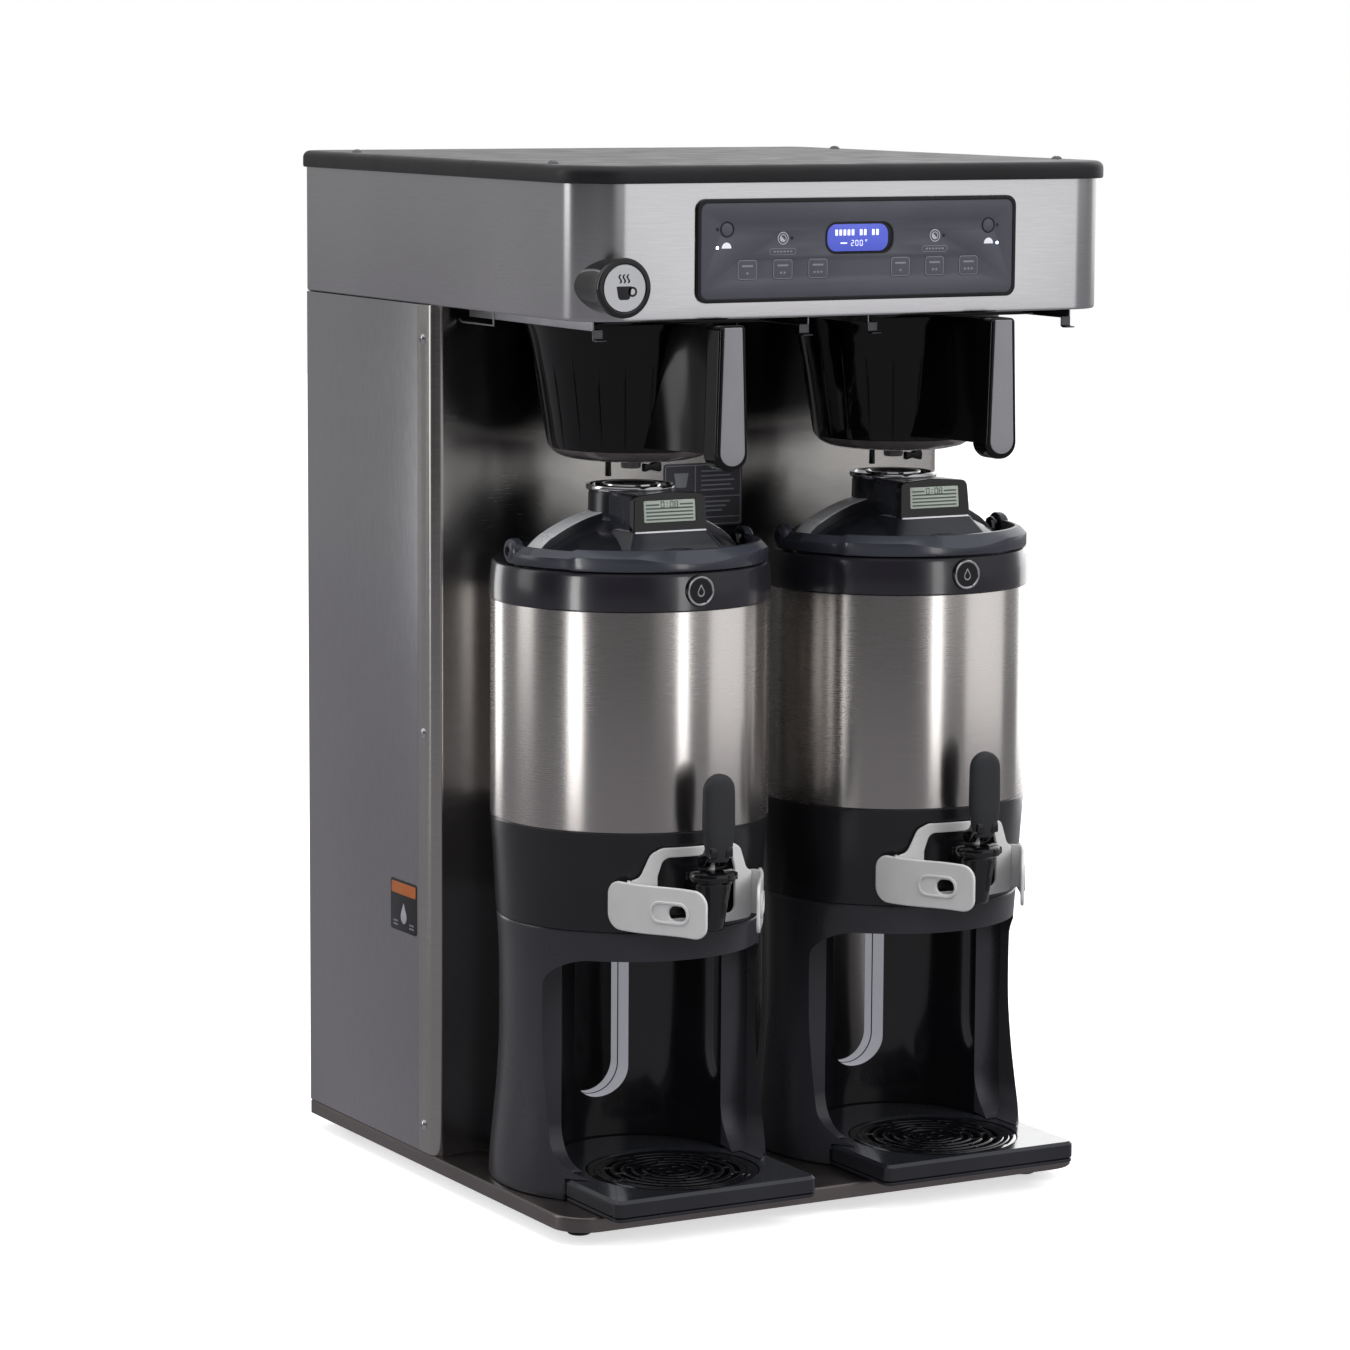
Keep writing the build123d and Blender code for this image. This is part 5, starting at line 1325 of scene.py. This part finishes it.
def build_guard_wings():
    """Swept wings with a rimmed slot, each on a bridge from the back plate."""
    half = 95.9 / 2
    for tag, side in (("l", -1), ("r", 1)):
        front, back = Vector((side * 26, -180, 284)), Vector((side * 74, -97, 284))
        along = (back - front).normalized()
        normal = Vector((along.y, -along.x, 0)) * side     # outward, towards the front
        middle = (front + back) / 2

        def sweep(x, height, depth):
            bow = -2.6 * (x / half) ** 2 + 1.2 + 1.0 * sin(x / half * pi * 0.9)
            rise = height + 2.3 * x / half - 1.1 * sin(x / half * pi * 0.8)
            return middle + along * x + normal * (depth + bow) + Vector((0, 0, rise))

        outline = rounded_polygon([(-half, -20.5, 12), (half, -21, 13), (half, 20.5, 13),
                                   (-half, 20.5, 12)], 9)
        wing = plate([outline, rounded_rect(16.5, 12.5, 6.0, -20.5, -1, 6)], -1.5, 1.5, 1.3, 4)
        rim = plate([rounded_rect(37, 19.5, 9.4, -13.5, -1),
                     rounded_rect(31.5, 14.2, 6.8, -13.5, -1)], 1.0, 2.7, 0.8, 3)
        pair(f"guard_wing_{tag}", bent(join(wing, rim), 2.0, 24, sweep), "guard_white",
             "server", "guard_white", angle=40)
        out = Vector((side * 0.485, -0.875, 0)).normalized()
        at = Vector((0, 0, 286)) + out * 128.2
        bridge = box((-5.6, -1.5, -19), (5.6, 1.5, 19), 0.7)
        bridge.transform(Matrix(((out.x, -out.y, 0, at.x), (out.y, out.x, 0, at.y),
                                 (0, 0, 1, at.z), (0, 0, 0, 1))))
        pair(f"guard_bridge_{tag}", bridge, "guard_white", "server", "guard_white")


# ---------------------------------------------------------------------- drip tray
def build_tray():
    """Slab with a round rear end and a round well, over a thin apron."""
    shoulder_y, end_radius = -32, 77.5
    start = asin((shoulder_y - CAVE_Y) / end_radius)
    outline = rounded_polygon([(-98, shoulder_y), (-98, -160, 8), (98, -160, 8),
                               (98, shoulder_y)], 8)
    outline += arc(end_radius, start, pi - start, 40, 0, CAVE_Y)
    well = lathe([(0, 30.6), (70.5, 30.6), (71, 31.2), (71, 39.4), (74.9, 39.4), (74.9, 46),
                  (0, 46)], 0, GRATE_Y, 112)
    slab = bevel(boolean(plate([outline], 27.6, 43.9, 2.6, 0), [well]), 0.35, 2, 30)
    apron = plate([rounded_polygon([(-97.6, -62), (-97.6, -159.5, 7.5), (97.6, -159.5, 7.5),
                                    (97.6, -62)], 8)], 25.6, 28.4, 0.5)
    pair("tray_slab", slab, "tray_black", "drip_tray", "gloss_black", "drip_tray", 28,
         even=True)
    pair("tray_apron", apron, "tray_black", "drip_tray", "gloss_black")


def build_grate():
    """Disc with rings of arc slots round four holes, and raised ridges."""
    holes = []
    for radius, count, offset in ((20, 4, 45), (29, 4, 0), (38, 6, 15), (47, 6, 45),
                                  (56, 8, 10)):
        pitch = 360 / count
        rib = degrees(4.2 / radius)
        holes += [arc_slot(radius, 4.4, offset + pitch * i + rib,
                           offset + pitch * (i + 1) - rib, 0, GRATE_Y) for i in range(count)]
    for i in range(4):
        a = radians(45 + 90 * i)
        holes.append(circle(3.2, 9 * cos(a), GRATE_Y + 9 * sin(a), 20))
    disc = plate([circle(74.0, 0, GRATE_Y, 128)] + holes, 39.6, 43.2, 0.55)
    ridges = [lathe([(r - 1.5, 42.9), (r + 1.5, 42.9), (r + 1.1, 43.4), (r + 0.4, 43.7),
                     (r - 0.4, 43.7), (r - 1.1, 43.4)], 0, GRATE_Y, 96)
              for r in (24.5, 33.5, 42.5, 51.5, 61.5, 66.5)]
    pair("grate_disc", disc, "gloss_black", "drip_grate", "gloss_black", "drip_grate", 34)
    pair("grate_ridges", join(*ridges), "gloss_black", "drip_grate", "gloss_black", angle=34)


for build in (build_hood, build_lid_moulding, build_screws, build_sheets, build_base,
              build_service_plate, build_care_plate, build_panel, build_display,
              build_panel_print, build_keys, build_badge, build_rails, build_funnel_cone,
              build_funnel_ribs, build_funnel_dish, build_funnel_grip, build_stand, build_shell,
              build_collar, build_bail, build_lid, build_lid_display, build_faucet, build_lever,
              build_guard_back, build_guard_wings, build_tray, build_grate):
    build()

# carried-over CAD nodes: what sits inside or behind
for cad_node, cad_material in (
        ("rear_panel", "panel_steel"), ("hood_floor", "inner_steel"),
        ("spray_heads", "spray_plastic"), ("water_tank", "tank_steel"),
        ("tank_heater", "heater_steel"), ("solenoid_valves", "valve_brass"),
        ("water_tubes", "silicone"), ("control_board", "board_green"),
        ("left_filter_basket", "tank_steel"), ("right_filter_basket", "tank_steel"),
        ("left_liner", "tank_steel"), ("right_liner", "tank_steel")):
    paint_cad(cad_node, cad_material)


# ------------------------------------------------------------------ stage (metres)
def build_floor():
    """Pale floor that glows for the camera and is a plain dim grey to other rays."""
    mesh = bpy.data.meshes.new("floor")
    bm = bmesh.new()
    bmesh.ops.create_grid(bm, x_segments=8, y_segments=8, size=9.0)
    bm.to_mesh(mesh)
    bm.free()
    floor = bpy.data.objects.new("floor", mesh)
    floor.location = (0, 0, -0.0003)
    SCENE_OBJECTS.link(floor)
    s = Surface("floor_pale")
    cloud = s.noise(3, detail=3)
    s.colour(s.two_tone(cloud, "f1f1f2", "f6f6f6"))
    s.roughness(cloud, 0.45, 0.55)
    light_path = s.node("ShaderNodeLightPath")
    lift = s.node("ShaderNodeEmission")
    lift.inputs["Color"].default_value = (1, 1, 1, 1)
    lift.inputs["Strength"].default_value = 0.62
    lifted = s.node("ShaderNodeAddShader")
    switch = s.node("ShaderNodeMixShader")
    dim = s.node("ShaderNodeEmission")
    dim.inputs["Color"].default_value = (0.275, 0.268, 0.285, 1)
    s.link(s.bsdf, "BSDF", lifted, 0)
    s.link(lift, "Emission", lifted, 1)
    s.link(light_path, "Is Camera Ray", switch, 0)
    s.link(dim, 0, switch, 1)
    s.link(lifted, 0, switch, 2)
    s.link(switch, "Shader", s.out, "Surface")
    mesh.materials.append(s.material)


# surround brightness by heading: (degrees from the front, positive towards +X; grey level)
SURROUND = ((-180, 0.30), (-165, 0.31), (-142, 0.31), (-135, 0.40), (-132, 2.0), (-118, 2.0),
            (-113, 0.16), (-104, 0.05), (-62, 0.045), (-12, 0.06), (0, 0.45), (8, 0.56),
            (52, 0.50), (78, 0.30), (96, 0.40), (106, 1.1), (148, 1.2), (163, 0.5))


def build_world():
    """White to the camera, a soft studio surround for light and reflections."""
    world = bpy.data.worlds.new("studio")
    bpy.context.scene.world = world
    w = Nodes(world)
    out = w.node("ShaderNodeOutputWorld")
    switch = w.node("ShaderNodeMixShader")
    light_path = w.node("ShaderNodeLightPath")
    backdrop = w.node("ShaderNodeBackground")
    surround = w.node("ShaderNodeBackground")
    backdrop.inputs["Color"].default_value = (1, 1, 1, 1)
    backdrop.inputs["Strength"].default_value = 1.0
    surround.inputs["Strength"].default_value = 1.0
    coordinates = w.node("ShaderNodeTexCoord")
    split = w.node("ShaderNodeSeparateXYZ")
    w.link(coordinates, "Generated", split, 0)
    heading = w.node("ShaderNodeMath", operation="ARCTAN2")
    w.link(split, "X", heading, 0)
    forward = w.node("ShaderNodeMath", operation="MULTIPLY")
    forward.inputs[1].default_value = -1
    w.link(split, "Y", forward, 0)
    w.link(forward, 0, heading, 1)
    share = w.spread(heading, 0.0, 1.0, start=-pi, end=pi, output=0)
    ramp = w.node("ShaderNodeValToRGB")
    w.link(share, "Result", ramp, "Fac")
    elements = ramp.color_ramp.elements
    while len(elements) > 1:
        elements.remove(elements[-1])
    for i, (angle, level) in enumerate(SURROUND):
        position = (angle + 180) / 360
        element = elements[0] if i == 0 else elements.new(position)
        element.position = position
        element.color = (level, level, level, 1)
    upward = w.spread(split, 0.0, 1.0, start=0.30, end=0.95, output="Z")
    sky = w.node("ShaderNodeMix", data_type="RGBA")
    w.link(upward, "Result", sky, 0)
    w.link(ramp, "Color", sky, MIX_A)
    sky.inputs[MIX_B].default_value = (0.80, 0.80, 0.82, 1)
    w.link(sky, MIX_RESULT, surround, "Color")
    w.link(light_path, "Is Camera Ray", switch, 0)
    w.link(surround, 0, switch, 1)
    w.link(backdrop, 0, switch, 2)
    w.link(switch, 0, out, "Surface")


def mesh_group(name, endings, also=None):
    """Collection of the meshes whose names end so, and of the one named by also."""
    group = bpy.data.collections.new(name)
    for obj in bpy.context.scene.objects:
        if obj.type == "MESH" and (obj.name == also or obj.name.endswith(tuple(endings))):
            group.objects.link(obj)
    return group


def area(name, location, target, size, watts, lit=None, blockers=None, glossy=True):
    """Area light; lit limits what it reaches, blockers what (with the floor) shades it."""
    data = bpy.data.lights.new(name, "AREA")
    data.shape, data.energy = "RECTANGLE", watts
    data.size, data.size_y = size
    obj = bpy.data.objects.new(name, data)
    SCENE_OBJECTS.link(obj)
    obj.location = location
    obj.rotation_mode = "QUATERNION"
    obj.rotation_quaternion = (Vector(target) - Vector(location)).to_track_quat("-Z", "Y")
    obj.visible_camera = False
    obj.visible_glossy = glossy
    if lit:
        obj.light_linking.receiver_collection = mesh_group(name + "_lit", lit)
    if blockers is not None:
        obj.light_linking.blocker_collection = mesh_group(name + "_shade", blockers, "floor")


def card(name, heading, distance, z, aim_z, size, watts, lit, x=0, y=-0.115, blockers=None):
    """Area light at a heading from the front (positive towards +X), aimed at x, y, aim_z."""
    a = radians(heading)
    area(name, (x + distance * sin(a), y - distance * cos(a), z), (x, y, aim_z), size, watts,
         lit, blockers)


def build_lights():
    area("key", (1.6, -2.6, 1.9), (0, -0.1, 0.45), size=(1.4, 1.8), watts=60, glossy=False)
    area("fill", (-2.6, -1.6, 1.4), (0, 0, 0.45), size=(0.9, 2.0), watts=26, glossy=False)
    area("top", (0.0, -0.4, 3.0), (0, 0, 0.4), size=(2.4, 2.4), watts=45, glossy=False)
    band = ["_shell_band"]
    gloss = ["_collar_ring", "_bail_band", "_bail_lugs"]
    rimmed = ["_stand_shell", "_skirt_ring", "_collar_ring", "_shell_band"]
    card("hood_card", heading=29.5, distance=2.3, y=-0.266, z=0.52, aim_z=0.83,
         size=(1.5, 1.5), watts=5.2, lit=["hood_wrap", "badge_disc"])
    card("strip_left", heading=-74, distance=1.6, z=0.30, aim_z=0.30, size=(0.32, 1.1),
         watts=4.8, lit=band)
    card("strip_front", heading=10, distance=1.8, z=0.40, aim_z=0.40, size=(0.27, 1.1),
         watts=3.9, lit=band)
    card("strip_left_gloss", heading=-74, distance=1.6, z=0.32, aim_z=0.32, size=(0.20, 1.1),
         watts=7.5, lit=gloss)
    card("strip_front_gloss", heading=10, distance=1.8, z=0.42, aim_z=0.42, size=(0.30, 1.1),
         watts=5.0, lit=gloss)
    card("rim_back", heading=-166, distance=1.9, z=0.45, aim_z=0.35, size=(0.9, 1.6),
         watts=12, lit=rimmed, blockers=[])
    card("rim_side", heading=116, distance=1.9, z=0.45, aim_z=0.35, size=(1.0, 1.6),
         watts=10, lit=rimmed, blockers=[])
    card("steel_soft", heading=56, distance=2.0, z=0.40, aim_z=0.40, size=(1.5, 1.2),
         watts=6, lit=band)
    for side, sign in SIDES:
        card(f"tray_card_{side}", heading=150.5, distance=2.2, x=sign * STATION_X / 1000,
             y=-0.2, z=0.56, aim_z=0.04, size=(2.4, 0.7), watts=8,
             lit=[f"{side}_tray_slab", f"{side}_grate_disc", f"{side}_grate_ridges"],
             blockers=[f"{side}_stand_shell"])
    card("splash_card", heading=24, distance=1.9, y=0.1, z=0.16, aim_z=0.50,
         size=(1.1, 0.42), watts=3.2, lit=["splash_back", "splash_sheet"])
    card("grip_line", heading=-62, distance=1.6, y=-0.28, z=0.70, aim_z=0.70,
         size=(0.10, 0.9), watts=2.4, lit=["_funnel_grip"], blockers=[])


def build_camera():
    """Looks from the front left, slightly down."""
    location = (-2.0368, -3.5531, 1.0064)
    yaw, pitch, roll = radians(29.549), radians(7.883), radians(0.353)
    forward = Vector((sin(yaw) * cos(pitch), cos(yaw) * cos(pitch), -sin(pitch)))
    level = Vector((cos(yaw), -sin(yaw), 0))
    upright = level.cross(forward)
    right = level * cos(roll) + upright * sin(roll)
    up = upright * cos(roll) - level * sin(roll)
    data = bpy.data.cameras.new("camera")
    data.lens, data.sensor_width = 122.9, 36.0
    data.clip_start, data.clip_end = 0.1, 60.0
    camera = bpy.data.objects.new("camera", data)
    SCENE_OBJECTS.link(camera)
    rows = [(right[i], up[i], -forward[i], location[i]) for i in range(3)]
    camera.matrix_world = Matrix((*rows, (0, 0, 0, 1)))
    bpy.context.scene.camera = camera
    bpy.context.scene.view_settings.view_transform = "Standard"


build_floor()
build_world()
build_lights()
build_camera()
